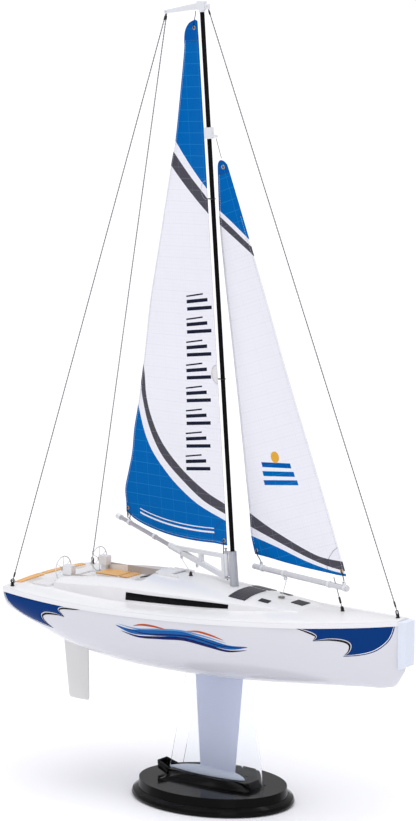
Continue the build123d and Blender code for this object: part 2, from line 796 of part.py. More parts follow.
for side, name in ((-1, "wheel_starboard"), (1, "wheel_port")):
    centre = (wheel_x, side * wheel_y, wheel_z)
    with BuildPart() as wheel:
        with Locations(Location(centre)):
            Cylinder(1.9, 1.8, rotation=(0, 90, 0))
        for k in range(6):
            a = math.radians(60 * k + 30)
            p = (wheel_x, side * wheel_y + 1.3 * math.cos(a), wheel_z + 1.3 * math.sin(a))
            q = (wheel_x, side * wheel_y + (wheel_r - 0.55) * math.cos(a), wheel_z + (wheel_r - 0.55) * math.sin(a))
            add(rod(p, q, 0.3))
        with Locations(Location(centre)):
            Torus(wheel_r - 0.55, 0.55, rotation=(0, 90, 0))
            Cylinder(0.86, 5, rotation=(0, 90, 0), mode=Mode.SUBTRACT)
    finish(wheel, name)

# ================================================================ mast and standing rigging
mast_axis = Vector(*mast_dir)
with BuildPart() as mast_step:
    with BuildSketch(Plane(origin=mast_pt(199.0), z_dir=mast_axis)):
        Circle(4.1)
    with BuildSketch(Plane(origin=mast_pt(227.0), z_dir=mast_axis)):
        Circle(3.65)
    loft()
    # two lugs that carry the gooseneck pin
    for z in (206.6, 230.2):
        with BuildSketch(Plane(origin=mast_pt(z), x_dir=(-math.cos(rake), 0, -math.sin(rake)), z_dir=mast_axis)):
            with Locations((3.6, 0)):
                Rectangle(7.2, 3.4)
            with Locations((7.34, 0)):
                Circle(1.7)
        extrude(amount=1.4)
    with BuildSketch(Plane(origin=mast_pt(227.0), z_dir=mast_axis)):
        Circle(3.65)
    extrude(amount=5.0)
    with BuildSketch(Plane(origin=mast_pt(200.5), z_dir=mast_axis)):
        Circle(mast_r)
    extrude(amount=40, mode=Mode.SUBTRACT)
    with BuildSketch(Plane(origin=main_pt(0, -14.2), z_dir=mast_axis)):
        Circle(0.6)
    extrude(amount=28.4, mode=Mode.SUBTRACT)
    add(cabin_form.part, mode=Mode.SUBTRACT)
finish(mast_step, "mast_step")

with BuildPart() as mast:
    with BuildSketch(Plane(origin=mast_pt(200.5), z_dir=mast_axis)):
        Circle(mast_r)
    extrude(amount=(714.6 - 200.5) / math.cos(rake))
finish(mast, "mast")

top = mast_pt(714.6)
with BuildPart() as masthead:
    with BuildSketch(Plane(origin=mast_pt(712.2), z_dir=mast_axis)):
        Circle(3.0)
    extrude(amount=2.4)
    with BuildSketch(Plane(origin=(top[0] - 0.4, 0, 714.2), x_dir=(1, 0, 0), z_dir=(0, 0, 1))):
        RectangleRounded(8.0, 6.0, 1.2)
    extrude(amount=7.4)
    with BuildSketch(Plane(origin=(top[0] - 3.5, 0, 717.4), x_dir=(0, 1, 0), z_dir=(-1, 0, -0.16))):
        Rectangle(3.4, 5.6)
    with BuildSketch(Plane(origin=(-52.6, 0, 711.2), x_dir=(0, 1, 0), z_dir=(-1, 0, -0.16))):
        Rectangle(2.6, 3.0)
    loft()
    with BuildSketch(Plane(origin=(top[0] + 3.0, 0, 717.2), x_dir=(0, 1, 0), z_dir=(1, 0, 0))):
        RectangleRounded(2.4, 5.0, 0.8)
    extrude(amount=5.0)
    with BuildSketch(Plane(origin=mast_pt(700.0), z_dir=mast_axis)):
        Circle(mast_r)
    extrude(amount=14.75, mode=Mode.SUBTRACT)
    with BuildSketch(Plane(origin=(0, 5, 0), x_dir=(1, 0, 0), z_dir=(0, -1, 0))):
        with Locations((-50.6, 711.4), (top[0] + 6.2, 717.2)):
            Circle(0.6)
    extrude(amount=10, mode=Mode.SUBTRACT)
finish(masthead, "masthead")

with BuildPart() as halyard_fitting:
    with BuildSketch(Plane(origin=mast_pt(601.2), x_dir=(1, 0, 0), z_dir=mast_axis)):
        RectangleRounded(7.4, 6.4, 1.2)
        Circle(mast_r, mode=Mode.SUBTRACT)
    extrude(amount=10.0)
    with BuildSketch(Plane(origin=(-1.4, 0, 603.8), x_dir=(0, 1, 0), z_dir=(1, 0, 0))):
        RectangleRounded(2.4, 2.6, 0.6)
    extrude(amount=6.0)
    with BuildSketch(Plane(origin=(0, 0, 603.8), x_dir=(1, 0, 0), z_dir=jib_dir)):
        with Locations((2.75, 0)):
            Circle(0.45)
    extrude(until=None, amount=6, both=True, mode=Mode.SUBTRACT)
finish(halyard_fitting, "halyard_fitting")

stern_eye_x, stern_eye_y = -184.6, 60.0
stern_eye_z = deck_z(stern_eye_x, stern_eye_y)
bow_eye = (198.4, 0.0, 196.0)
fore_top = (top[0] + 6.2, 0.0, 716.0)
with BuildPart() as forestay:
    add(rod((fore_top[0] + 0.2, 0, 716.4), (197.2, 0.0, 201.8), wire_r))
with BuildPart() as backstays:
    for side in (1, -1):
        add(rod((-50.8, side * 0.5, 710.6), (stern_eye_x + 0.4, side * (stern_eye_y - 0.6), stern_eye_z + 5.6), wire_r))
with BuildPart() as standing_rigging:
    add(forestay.part)
    add(backstays.part)
finish(standing_rigging, "standing_rigging")


def shackle(a, b, width=1.5, wire=0.42):
    """Closed wire link between two points."""
    a, b = Vector(*a), Vector(*b)
    up = (b - a).normalized()
    pl = Plane(origin=(a + b) / 2, x_dir=Vector(0, 1, 0).cross(up), z_dir=Vector(0, 1, 0))
    with BuildPart() as link:
        with BuildSketch(Plane(origin=(a + b) / 2, x_dir=Vector(0, 1, 0).cross(up).normalized(), z_dir=Vector(0, 1, 0))):
            SlotOverall((b - a).length + 2 * wire, 2 * width, rotation=90)
            SlotOverall((b - a).length - 2 * wire, 2 * width - 4 * wire, rotation=90, mode=Mode.SUBTRACT)
        extrude(amount=wire, both=True)
    return link.part


with BuildPart() as stay_shackles:
    for side in (1, -1):
        add(shackle((stern_eye_x, side * stern_eye_y, stern_eye_z + 1.6), (stern_eye_x + 0.4, side * stern_eye_y, stern_eye_z + 5.4)))
    add(shackle((198.6, 0, 196.2), (197.3, 0, 201.2)))


def eye(x, y, z, height, wire=0.5, wide=1.2):
    """Deck eye: a round base with a wire loop standing on it."""
    with BuildPart() as e:
        with BuildSketch(Plane.XY.offset(z - 0.8)):
            with Locations((x, y)):
                Circle(1.9)
        extrude(amount=1.4)
        with BuildSketch(Plane(origin=(x, y, z + height / 2), x_dir=(0, 1, 0), z_dir=(1, 0, 0))):
            SlotOverall(height + 1.2, 2 * wide + 1.0, rotation=90)
            SlotOverall(height - 0.8, 2 * wide - 1.0, rotation=90, mode=Mode.SUBTRACT)
        extrude(amount=wire, both=True)
    return e.part


with BuildPart() as deck_eyes:
    for side in (1, -1):
        add(eye(stern_eye_x, side * stern_eye_y, stern_eye_z, 3.2))
    add(eye(198.6, 0, deck_z(198.6, 0), 3.2))
    add(eye(140.9, 0, deck_z(140.9, 0), 3.0))
    add(eye(-24.6, 0, 203.4, 3.4))
    add(deck_a, mode=Mode.SUBTRACT)
finish(deck_eyes, "deck_eyes")
print("jib eye deck", deck_z(142, 0), "bow eye deck", deck_z(198.6, 0), "stern", stern_eye_z)

with BuildPart() as jib_sheet_bush:
    with BuildSketch(Plane.XY.offset(195.5)):
        with Locations((75.6, 0)):
            Ellipse(3.0, 3.0)
    extrude(amount=2.0)
    with BuildSketch(Plane.XY.offset(190)):
        with Locations((75.6, 0)):
            Circle(0.7)
    extrude(amount=12, mode=Mode.SUBTRACT)
    add(deck_a, mode=Mode.SUBTRACT)
finish(jib_sheet_bush, "jib_sheet_bush")

with BuildPart() as mast_rings:
    for z in (548.0, 387.5):
        c = mast_pt(z, 1.1)
        with BuildSketch(Plane(origin=(c[0] + 3.45, 0, z), x_dir=(1, 0, 0), z_dir=(0, 1, 0))):
            Circle(0.3)
        revolve(axis=Axis((c[0], 0, z), (0, 0, 1)))
finish(mast_rings, "mast_rings")

# ================================================================ rudder and its drive
def blade_section(z, x0, x1, t):
    """Streamlined plan section: x1 is the leading edge."""
    c = x1 - x0
    up = [(x0, 0.25), (x0 + 0.35 * c, 0.30 * t), (x0 + 0.68 * c, 0.5 * t), (x0 + 0.90 * c, 0.36 * t)]
    with BuildSketch(Plane.XY.offset(z)) as s:
        with BuildLine():
            Spline(*up, (x1, 0), *[(x, -y) for x, y in reversed(up)])
            Line((x0, -0.25), (x0, 0.25))
        make_face()
    return s.sketch


with BuildPart() as rudder_blade:
    add(blade_section(69.2, -166.0, -142.2, 3.8))
    add(blade_section(142.0, -173.6, -142.6, 5.2))
    loft()
    with BuildSketch(Plane.XZ.offset(-10)):
        with BuildLine():
            Polyline((-141.0, 126.4), (-152.0, 131.0), (-175.0, 140.8), (-175.0, 160.0), (-141.0, 160.0), close=True)
        make_face()
    extrude(amount=20, mode=Mode.SUBTRACT)
    with BuildSketch(Plane.XY.offset(74.0)):
        with Locations((rudder_axis_x, 0)):
            Circle(rudder_stock_r)
    extrude(amount=80, mode=Mode.SUBTRACT)
finish(rudder_blade, "rudder_blade")
with BuildPart() as rudder_stock:
    with BuildSketch(Plane.XY.offset(74.0)):
        with Locations((rudder_axis_x, 0)):
            Circle(rudder_stock_r)
    extrude(amount=92.0)
with BuildPart() as rudder_tube:
    with BuildSketch(Plane.XY.offset(133.2)):
        with Locations((rudder_axis_x, 0)):
            Circle(2.4)
            Circle(rudder_stock_r + 0.06, mode=Mode.SUBTRACT)
    extrude(amount=26.0)
finish(rudder_tube, "rudder_tube")


def lever(x, z, length, t=2.2, boss=3.2, eye_r=1.7, hub=0.0, hole=0.55, direction=1):
    with BuildPart() as arm:
        with BuildSketch(Plane.XY.offset(z)):
            with Locations((x, 0)):
                Circle(boss)
            with Locations((x, direction * length)):
                Circle(eye_r)
            with BuildLine():
                Polyline((x - boss * 0.8, 0), (x + boss * 0.8, 0), (x + eye_r, direction * length), (x - eye_r, direction * length), close=True)
            make_face()
        extrude(amount=t)
        with BuildSketch(Plane.XY.offset(z - 1)):
            with Locations((x, 0)):
                Circle(hub)
            if hole > 0:
                with Locations((x, direction * length)):
                    Circle(hole)
        extrude(amount=t + 2, mode=Mode.SUBTRACT)
    return arm.part


with BuildPart() as tiller:
    add(lever(rudder_axis_x, 160.6, tiller_arm, hub=rudder_stock_r, hole=0.9))
stock = rudder_stock.part
with BuildPart() as rudder_stock:
    add(stock)
    add(tiller.part)
finish(rudder_stock, "rudder_stock")

with BuildPart() as rudder_servo:
    with BuildSketch(Plane.XY.offset(137.0)):
        with Locations((servo_axis_x + 5.0, 0)):
            RectangleRounded(23, 12, 1)
    extrude(amount=19.0)
    with BuildSketch(Plane.XY.offset(149.0)):
        with Locations((servo_axis_x + 5.0, 0)):
            Rectangle(32, 12)
    extrude(amount=1.8)
    with BuildSketch(Plane.XY.offset(156.0)):
        with Locations((servo_axis_x, 0)):
            Circle(5.2)
    extrude(amount=2.6)
    with BuildSketch(Plane.XY.offset(158.6)):
        with Locations((servo_axis_x, 0)):
            Circle(1.44)
    extrude(amount=3.6)
with BuildPart() as rudder_servo_arm:
    add(lever(servo_axis_x, 160.6, tiller_arm, hub=1.5, hole=0.0))
    with BuildSketch(Plane.XY.offset(159.8)):
        with Locations((servo_axis_x, tiller_arm)):
            Circle(0.5)
    extrude(amount=5.0)
finish(rudder_servo_arm, "rudder_servo_arm")
with BuildPart() as rudder_pushrod:
    with BuildSketch(Plane.XY.offset(163.2)):
        with Locations((servo_axis_x, tiller_arm), (rudder_axis_x, tiller_arm)):
            Circle(1.5)
        with Locations(((servo_axis_x + rudder_axis_x) / 2, tiller_arm)):
            Rectangle(servo_axis_x - rudder_axis_x, 1.1)
        with Locations((servo_axis_x, tiller_arm)):
            Circle(0.55, mode=Mode.SUBTRACT)
    extrude(amount=1.2)
    with BuildSketch(Plane.XY.offset(160.2)):
        with Locations((rudder_axis_x, tiller_arm)):
            Circle(0.55)
    extrude(amount=3.2)
finish(rudder_pushrod, "rudder_pushrod")

with BuildPart() as sail_winch:
    with BuildSketch(Plane.XY.offset(137.0)):
        with Locations((winch_axis_x + 8.0, 0)):
            RectangleRounded(34, 15, 1)
    extrude(amount=20.0)
    with BuildSketch(Plane.XY.offset(151.0)):
        with Locations((winch_axis_x + 8.0, 0)):
            Rectangle(43, 15)
    extrude(amount=2.0)
    with BuildSketch(Plane.XY.offset(157.0)):
        with Locations((winch_axis_x, 0)):
            Circle(6.4)
    extrude(amount=2.6)
    with BuildSketch(Plane.XY.offset(159.6)):
        with Locations((winch_axis_x, 0)):
            Circle(2.2)
    extrude(amount=4.6)
with BuildPart() as drive_servos:
    add(rudder_servo.part)
    add(sail_winch.part)
finish(drive_servos, "drive_servos")
with BuildPart() as sail_winch_arm:
    add(lever(winch_axis_x, 161.6, winch_arm_len, t=2.4, boss=4.6, eye_r=2.2, hub=2.26, hole=0.8, direction=-1))
finish(sail_winch_arm, "sail_winch_arm")

with BuildPart() as servo_tray:
    with BuildSketch(Plane.XY.offset(147.4)):
        with Locations((-81.0, 0)):
            RectangleRounded(98, 56, 3)
        with Locations((servo_axis_x + 5.0, 0)):
            Rectangle(23.6, 12.6, mode=Mode.SUBTRACT)
        with Locations((winch_axis_x + 8.0, 0)):
            Rectangle(34.6, 15.6, mode=Mode.SUBTRACT)
    extrude(amount=1.6)
    # two cross walls glued to the hull
    for x in (-129.0, -34.0):
        with BuildSketch(Plane(origin=(x - 1.0, 0, 0), x_dir=(0, 1, 0), z_dir=(1, 0, 0))):
            with Locations((0, 134.7)):
                Rectangle(56, 27.0)
        extrude(amount=2.0)
    add(hull_solid - room_solid, mode=Mode.SUBTRACT)
tray = servo_tray.part.solids().sort_by(SortBy.VOLUME)[-1]
with BuildPart() as servo_tray:
    add(tray)

with BuildPart() as servo_screws:
    for x, y, z in ((servo_axis_x - 8.8, 4.2, 150.8), (servo_axis_x - 8.8, -4.2, 150.8), (servo_axis_x + 18.8, 4.2, 150.8), (servo_axis_x + 18.8, -4.2, 150.8)):
        with BuildSketch(Plane.XY.offset(z)):
            with Locations((x, y)):
                Circle(1.3)
        extrude(amount=1.1)
    for x, y, z in ((winch_axis_x - 11.4, 5.2, 153.0), (winch_axis_x - 11.4, -5.2, 153.0), (winch_axis_x + 27.4, 5.2, 153.0), (winch_axis_x + 27.4, -5.2, 153.0)):
        with BuildSketch(Plane.XY.offset(z)):
            with Locations((x, y)):
                Circle(1.4)
        extrude(amount=1.1)
with BuildPart() as inner_screws:
    add(keel_screws.part)
    add(servo_screws.part)
finish(inner_screws, "inner_screws")

with BuildPart() as battery_pack:
    for y in (-7.6, 7.6):
        with BuildSketch(Plane(origin=(44.0, y, 136.4), x_dir=(0, 1, 0), z_dir=(1, 0, 0))):
            Circle(7.1)
        extrude(amount=50.0)
    with BuildSketch(Plane(origin=(44.6, 0, 0), x_dir=(0, 1, 0), z_dir=(1, 0, 0))):
        with Locations((0, 136.4)):
            Rectangle(15.2, 14.2)
    extrude(amount=48.8)
finish(battery_pack, "battery_pack")
with BuildPart() as battery_cradle:
    with BuildSketch(Plane.XY.offset(124.6)):
        with Locations((69.0, 0)):
            Rectangle(56.0, 35.0)
    extrude(amount=15.4)
    with BuildSketch(Plane.XY.offset(129.2)):
        with Locations((69.0, 0)):
            Rectangle(50.6, 29.8)
    extrude(amount=20.0, mode=Mode.SUBTRACT)
    with BuildSketch(Plane.XY.offset(110.0)):
        with Locations((69.0, 0)):
            Rectangle(40.0, 22.0)
    extrude(amount=17.6, mode=Mode.SUBTRACT)
    add(hull_solid - room_solid, mode=Mode.SUBTRACT)
cradle_piece = battery_cradle.part.solids().sort_by(SortBy.VOLUME)[-1]
with BuildPart() as battery_cradle:
    add(cradle_piece)
with BuildPart() as inner_trays:
    add(servo_tray.part)
    add(battery_cradle.part)
finish(inner_trays, "inner_trays")
with BuildPart() as receiver:
    with BuildSketch(Plane.XY.offset(143.6)):
        with Locations((66.0, 0)):
            RectangleRounded(34, 20, 1.5)
    extrude(amount=9.0)
    with BuildSketch(Plane(origin=(83.0, 0, 0), x_dir=(0, 1, 0), z_dir=(1, 0, 0))):
        with Locations((0, 149.5)):
            Rectangle(14, 3.0)
    extrude(amount=3.0)
    add(rod((60.0, 8.0, 151.6), (60.0, 8.0, 172.0), 0.6))
finish(receiver, "receiver")

with BuildPart() as power_switch_body:
    with BuildSketch(Plane.XY.offset(176.0)):
        with Locations((-88.0, 0)):
            Rectangle(13, 7)
    extrude(amount=6.6)
    with BuildSketch(Plane.XY.offset(178.2)):
        with Locations((-88.0, 0)):
            Rectangle(9.0, 3.4)
    extrude(amount=6.0, mode=Mode.SUBTRACT)
    add(deck_a, mode=Mode.SUBTRACT)
finish(power_switch_body, "power_switch_body")
with BuildPart() as power_switch_lever:
    with BuildSketch(Plane.XY.offset(178.5)):
        with Locations((-89.7, 0)):
            Rectangle(4.8, 2.8)
    extrude(amount=4.8)
    with BuildSketch(Plane.XY.offset(183.3)):
        with Locations((-89.7, 0)):
            Rectangle(2.6, 2.4)
    extrude(amount=3.2)
finish(power_switch_lever, "power_switch_lever")

# ================================================================ main boom and mainsail, in the sail's own plane
def boom_s(r):
    return main_boom_drop + main_boom_slope * r


boom_a, boom_b = (74.0, boom_s(74.0)), (main_boom_end, boom_s(main_boom_end))
with BuildPart() as main_boom:
    add(rod(main_pt(*boom_a), main_pt(*boom_b), 2.0))
finish(main_boom, "main_boom")
boom_dir = Vector(*main_pt(*boom_b)) - Vector(*main_pt(*boom_a))
with BuildPart() as main_boom_cap:
    with BuildSketch(Plane(origin=main_pt(main_boom_end - 5.0, boom_s(main_boom_end - 5.0)), z_dir=boom_dir)):
        Circle(2.7)
        Circle(2.0, mode=Mode.SUBTRACT)
    extrude(amount=5.1)
    with BuildSketch(Plane(origin=main_pt(main_boom_end + 0.05, boom_s(main_boom_end)), z_dir=boom_dir)):
        Circle(2.7)
    extrude(amount=1.2)

with BuildPart() as gooseneck:
    with BuildSketch(main_plane.offset(-1.7)):
        with BuildLine():
            Polyline((1.9, 8.6), (3.6, 9.2), (80.0, 8.6), (86.0, boom_s(86) + 2.9), (92.0, boom_s(92) + 2.6), (92.0, boom_s(92) - 2.6),
                     (74.0, boom_s(74) - 2.4), (4.4, -13.6), (1.9, -12.0), close=True)
        make_face()
        with BuildLine():
            Polyline((6.4, 5.6), (38.8, 5.4), (38.8, -1.4), (6.4, -8.4), close=True)
        make_face(mode=Mode.SUBTRACT)
        with BuildLine():
            Polyline((43.0, 5.4), (70.5, 5.2), (43.0, -0.6), close=True)
        make_face(mode=Mode.SUBTRACT)
    extrude(amount=3.4)
    with BuildSketch(Plane(origin=main_pt(72.0, boom_s(72.0)), z_dir=boom_dir)):
        Circle(2.9)
    extrude(amount=20.5)
    # barrel that turns on the gooseneck pin
    with BuildSketch(Plane(origin=main_pt(0, -10.6), z_dir=mast_axis)):
        Circle(2.0)
    extrude(amount=21.0)
    with BuildSketch(main_plane.offset(-1.2)):
        with BuildLine():
            Polyline((0, 9.6), (4, 9.2), (4, 5.8), (0, 5.8), close=True)
        make_face()
        with BuildLine():
            Polyline((0, -6.0), (4, -6.4), (4, -11.0), (0, -10.2), close=True)
        make_face()
    extrude(amount=2.4)
    with BuildSketch(Plane(origin=main_pt(0, -14), z_dir=mast_axis)):
        Circle(0.66)
    extrude(amount=30, mode=Mode.SUBTRACT)
    with BuildSketch(Plane(origin=main_pt(*boom_a), z_dir=boom_dir)):
        Circle(2.0)
    extrude(amount=30, mode=Mode.SUBTRACT)
finish(gooseneck, "gooseneck")
with BuildPart() as gooseneck_pin:
    with BuildSketch(Plane(origin=main_pt(0, -14.2), z_dir=mast_axis)):
        Circle(0.6)
    extrude(amount=28.4)
    with BuildSketch(Plane(origin=main_pt(0, 14.2), z_dir=mast_axis)):
        Circle(1.3)
    extrude(amount=0.8)
finish(gooseneck_pin, "gooseneck_pin")


with BuildPart() as main_boom_hooks:
    for r in (48.8, 73.8):
        s0 = boom_s(r) - 2.6
        with BuildSketch(main_plane.offset(-0.5)):
            with Locations((r, s0 - 2.2)):
                Circle(1.7)
            with Locations((r, s0 - 2.2)):
                Circle(0.9, mode=Mode.SUBTRACT)
            with Locations((r, s0 + 0.1)):
                Rectangle(2.6, 1.6)
        extrude(amount=1.0)
    for r in (116.0, 158.0):
        with BuildSketch(Plane(origin=main_pt(r, boom_s(r)), z_dir=boom_dir)):
            Circle(2.7)
            Circle(2.0, mode=Mode.SUBTRACT)
        extrude(amount=3.0)
    # clew hook that holds the sail's corner above the boom
    add(rod(main_pt(159.5, boom_s(159.5) + 2.2), main_pt(160.6, 31.0), 0.35))
    add(gooseneck.part, mode=Mode.SUBTRACT)
    add(main_boom.part, mode=Mode.SUBTRACT)
with BuildPart() as main_boom_fittings:
    add(main_boom_cap.part)
    add(main_boom_hooks.part)
finish(main_boom_fittings, "main_boom_fittings")

main_outline = [(163.9, 33.0), (163.6, 52.0), (156.4, 71.2), (147.8, 89.9), (132.4, 136.3), (117.2, 182.0), (98.4, 242.1), (77.1, 296.8),
                (52.7, 360.6), (44.0, 380.8), (30.3, 427.7), (20.5, 467.4), (19.4, 474.0), (15.6, 480.9), (10.7, 484.9), (1.5, 487.8),
                (-2.2, 486.8), (-2.4, 470.0), (-2.4, 17.2), (17.0, 17.4), (67.6, 16.2), (114.6, 19.4), (150.1, 26.4)]
with BuildPart() as mainsail:
    with BuildSketch(main_plane.offset(-sail_t / 2)):
        with BuildLine():
            Polyline(*main_outline, close=True)
        make_face()
    extrude(amount=sail_t)
finish(mainsail, "mainsail")

# ================================================================ jib boom and jib
jib_nose, jib_tail = (-13.2, 20.4), (96.5, 59.1)
jib_slope = (jib_tail[1] - jib_nose[1]) / (jib_tail[0] - jib_nose[0])


def jib_s(r):
    return jib_nose[1] + (r - jib_nose[0]) * jib_slope


jib_boom_dir = Vector(*jib_pt(*jib_tail)) - Vector(*jib_pt(*jib_nose))
with BuildPart() as jib_boom:
    add(rod(jib_pt(*jib_nose), jib_pt(*jib_tail), 2.5))
    with BuildSketch(Plane(origin=jib_pt(0, 14), z_dir=jib_dir)):
        Circle(0.75)
    extrude(amount=22, mode=Mode.SUBTRACT)
finish(jib_boom, "jib_boom")
with BuildPart() as jib_boom_rings:
    for r in (-10.5, 8.0, 60.5, 86.0):
        with BuildSketch(Plane(origin=jib_pt(r - 1.2, jib_s(r - 1.2)), z_dir=jib_boom_dir)):
            Circle(3.1)
            Circle(2.5, mode=Mode.SUBTRACT)
        extrude(amount=2.6)
    with BuildSketch(jib_plane.offset(-0.5)):
        for r, sign in ((60.5, -1), (86.0, 1), (-10.5, 1)):
            with Locations((r, jib_s(r) + sign * 4.6)):
                Circle(1.9)
                Circle(1.0, mode=Mode.SUBTRACT)
    extrude(amount=1.0)
    add(jib_boom.part, mode=Mode.SUBTRACT)
finish(jib_boom_rings, "jib_boom_rings")

jib_outline = [(90.7, 69.5), (89.4, 87.3), (83.8, 106.3), (76.8, 135.7), (68.8, 168.7), (60.2, 205.1), (47.6, 259.9), (37.6, 305.0),
               (27.6, 346.7), (20.4, 371.8), (6.0, 412.6), (4.4, 414.3), (-0.9, 412.6), (-4.6, 408.3), (-5.2, 402.1), (-7.4, 339.0), (-9.0, 281.0),
               (-9.8, 222.8), (-11.4, 178.9), (-14.0, 118.4), (-15.2, 66.3), (-15.6, 36.0), (-14.9, 31.2), (5.1, 37.8), (31.9, 47.0), (58.7, 57.0), (74.2, 63.3)]
with BuildPart() as jib_sail:
    with BuildSketch(jib_plane.offset(-sail_t / 2)):
        with BuildLine():
            Polyline(*jib_outline, close=True)
        make_face()
    extrude(amount=sail_t)
    # the pivot line passes up the sail through a sleeve
    with BuildSketch(Plane(origin=jib_pt(0, 20), z_dir=jib_dir)):
        Rectangle(1.4, 1.4)
    extrude(amount=12, mode=Mode.SUBTRACT)
finish(jib_sail, "jib_sail")

# pivot wire from the foredeck eye through the jib boom
with BuildPart() as jib_pivot_wire:
    add(rod(jib_pt(0, 6.4), jib_pt(0, 33.0), 0.35))
    add(rod(jib_pt(0, 9.4), jib_pt(0, 15.0), 0.95))
with BuildPart() as jib_swivel:
    add(shackle(jib_pt(0, 3.0), jib_pt(0, 6.2)))
shackles = stay_shackles.part
with BuildPart() as stay_shackles:
    add(shackles)
    add(jib_swivel.part)
finish(stay_shackles, "stay_shackles")
with BuildPart() as jib_halyard:
    add(rod(jib_pt(0.0, 415.2), jib_pt(0.0, 433.6), 0.25))
with BuildPart() as jib_lines:
    add(jib_pivot_wire.part)
    add(jib_halyard.part)
finish(jib_lines, "jib_lines")

# ================================================================ sheets
main_hook = main_pt(73.8, boom_s(73.8) - 6.2)
with BuildPart() as main_sheet:
    run = Vector(*main_hook) - Vector(-24.6, 0, 206.4)
    add(rod((-24.6, 0, 206.4), Vector(*main_hook) - run.normalized() * 1.4, 0.22))
finish(main_sheet, "main_sheet")
jib_hook = jib_pt(60.5, jib_s(60.5) - 7.0)
with BuildPart() as jib_sheet:
    run = Vector(*jib_hook) - Vector(75.6, 0, 197.35)
    add(rod((75.6, 0, 197.35), Vector(*jib_hook) - run.normalized() * 1.4, 0.22))
finish(jib_sheet, "jib_sheet")
print("main hook", main_hook, "jib hook", jib_hook)
print("clew", main_pt(163.9, 33.0), "boom end", main_pt(*boom_b), "jib tail", jib_pt(*jib_tail))
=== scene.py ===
import bpy
import math
from mathutils import Matrix, Vector
from mathutils.geometry import delaunay_2d_cdt


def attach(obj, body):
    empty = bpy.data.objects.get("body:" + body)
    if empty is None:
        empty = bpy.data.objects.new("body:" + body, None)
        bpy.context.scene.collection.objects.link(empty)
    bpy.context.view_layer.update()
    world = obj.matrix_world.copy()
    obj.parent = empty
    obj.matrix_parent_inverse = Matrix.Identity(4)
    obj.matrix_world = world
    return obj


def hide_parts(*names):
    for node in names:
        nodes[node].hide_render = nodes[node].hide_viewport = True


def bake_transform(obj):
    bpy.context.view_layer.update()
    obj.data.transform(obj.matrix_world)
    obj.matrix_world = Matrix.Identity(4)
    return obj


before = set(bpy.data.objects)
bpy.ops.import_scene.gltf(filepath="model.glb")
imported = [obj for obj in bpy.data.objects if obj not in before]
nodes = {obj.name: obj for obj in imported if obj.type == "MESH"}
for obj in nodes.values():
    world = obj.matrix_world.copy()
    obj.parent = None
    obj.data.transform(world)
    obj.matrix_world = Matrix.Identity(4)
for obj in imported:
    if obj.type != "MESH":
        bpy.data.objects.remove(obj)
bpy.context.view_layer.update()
scene = bpy.context.scene
MM = 0.001

# ------------------------------------------------------------------ camera
cam_data = bpy.data.cameras.new("camera")
cam = bpy.data.objects.new("camera", cam_data)
scene.collection.objects.link(cam)
cam_data.sensor_fit = "VERTICAL"
cam_data.sensor_height = 24.0
cam_data.sensor_width = 24.0
cam_data.lens = 3291.06 / 821.0 * 24.0
cam_data.clip_start = 0.05
cam_data.clip_end = 200.0
cam.location = (1.70479, -2.35369, 0.84561)
cam.rotation_euler = (Vector((-0.00527, 0.0, 0.35739)) - Vector(cam.location)).to_track_quat("-Z", "Y").to_euler()
scene.camera = cam
scene.view_settings.view_transform = "Standard"

# ------------------------------------------------------------------ boat geometry, in millimetres
STATIONS = [(-191.0, 66.0, 149.0, 2.30), (-166.0, 67.4, 138.8, 2.30), (-130.0, 68.0, 125.6, 2.25), (-85.0, 67.4, 118.2, 2.20),
            (-40.0, 64.8, 116.0, 2.15), (5.0, 60.3, 116.2, 2.10), (50.0, 54.4, 118.2, 2.05), (95.0, 46.0, 121.8, 2.00),
            (135.0, 36.0, 125.6, 1.95), (168.0, 24.5, 128.8, 1.95), (188.0, 16.0, 131.0, 2.00), (198.0, 11.2, 135.2, 2.20),
            (204.5, 8.2, 146.0, 2.60)]


def slopes(k):
    out = []
    for i in range(len(STATIONS)):
        if i == 0 or i == len(STATIONS) - 1:
            a, b = (0, 1) if i == 0 else (-2, -1)
            out.append((STATIONS[b][k] - STATIONS[a][k]) / (STATIONS[b][0] - STATIONS[a][0]))
        else:
            x0, x1, x2 = (STATIONS[i + j][0] for j in (-1, 0, 1))
            y0, y1, y2 = (STATIONS[i + j][k] for j in (-1, 0, 1))
            h0, h1 = x1 - x0, x2 - x1
            d0, d1 = (y1 - y0) / h0, (y2 - y1) / h1
            out.append((d0 * h1 + d1 * h0) / (h0 + h1))
    return out


SLOPES = {k: slopes(k) for k in (1, 2, 3)}


def station(x, k):
    """Smooth value through the stations."""
    if x <= STATIONS[0][0]:
        return STATIONS[0][k]
    for i in range(len(STATIONS) - 1):
        a, b = STATIONS[i], STATIONS[i + 1]
        if x <= b[0]:
            h = b[0] - a[0]
            t = (x - a[0]) / h
            m0, m1 = SLOPES[k][i] * h, SLOPES[k][i + 1] * h
            return ((2 * t ** 3 - 3 * t ** 2 + 1) * a[k] + (t ** 3 - 2 * t ** 2 + t) * m0
                    + (-2 * t ** 3 + 3 * t ** 2) * b[k] + (t ** 3 - t ** 2) * m1)
    return STATIONS[-1][k]


def sheer(x):
    return 178.0 + 15.5 * ((x + 85) / 291) ** 2 if x > -85 else 178.0 + 5.0 * ((x + 85) / 107) ** 2


def half_width(x, z):
    B, K, n = station(x, 1), station(x, 2), station(x, 3)
    S = sheer(x)
    q = min(max((S - z) / (S - K), 0.0), 1.0)
    return B * max(1 - q ** n, 0.0) ** (1 / n)


RAKE = math.radians(4.0)
MAST_DIR = Vector((-math.sin(RAKE), 0.0, math.cos(RAKE)))
MAST_FOOT = Vector((22.3, 0.0, 227.0))


def mast_pt(z, aft=0.0):
    t = (z - MAST_FOOT.z) / math.cos(RAKE)
    return Vector((MAST_FOOT.x - t * math.sin(RAKE) - aft * math.cos(RAKE), 0.0, z - aft * math.sin(RAKE)))


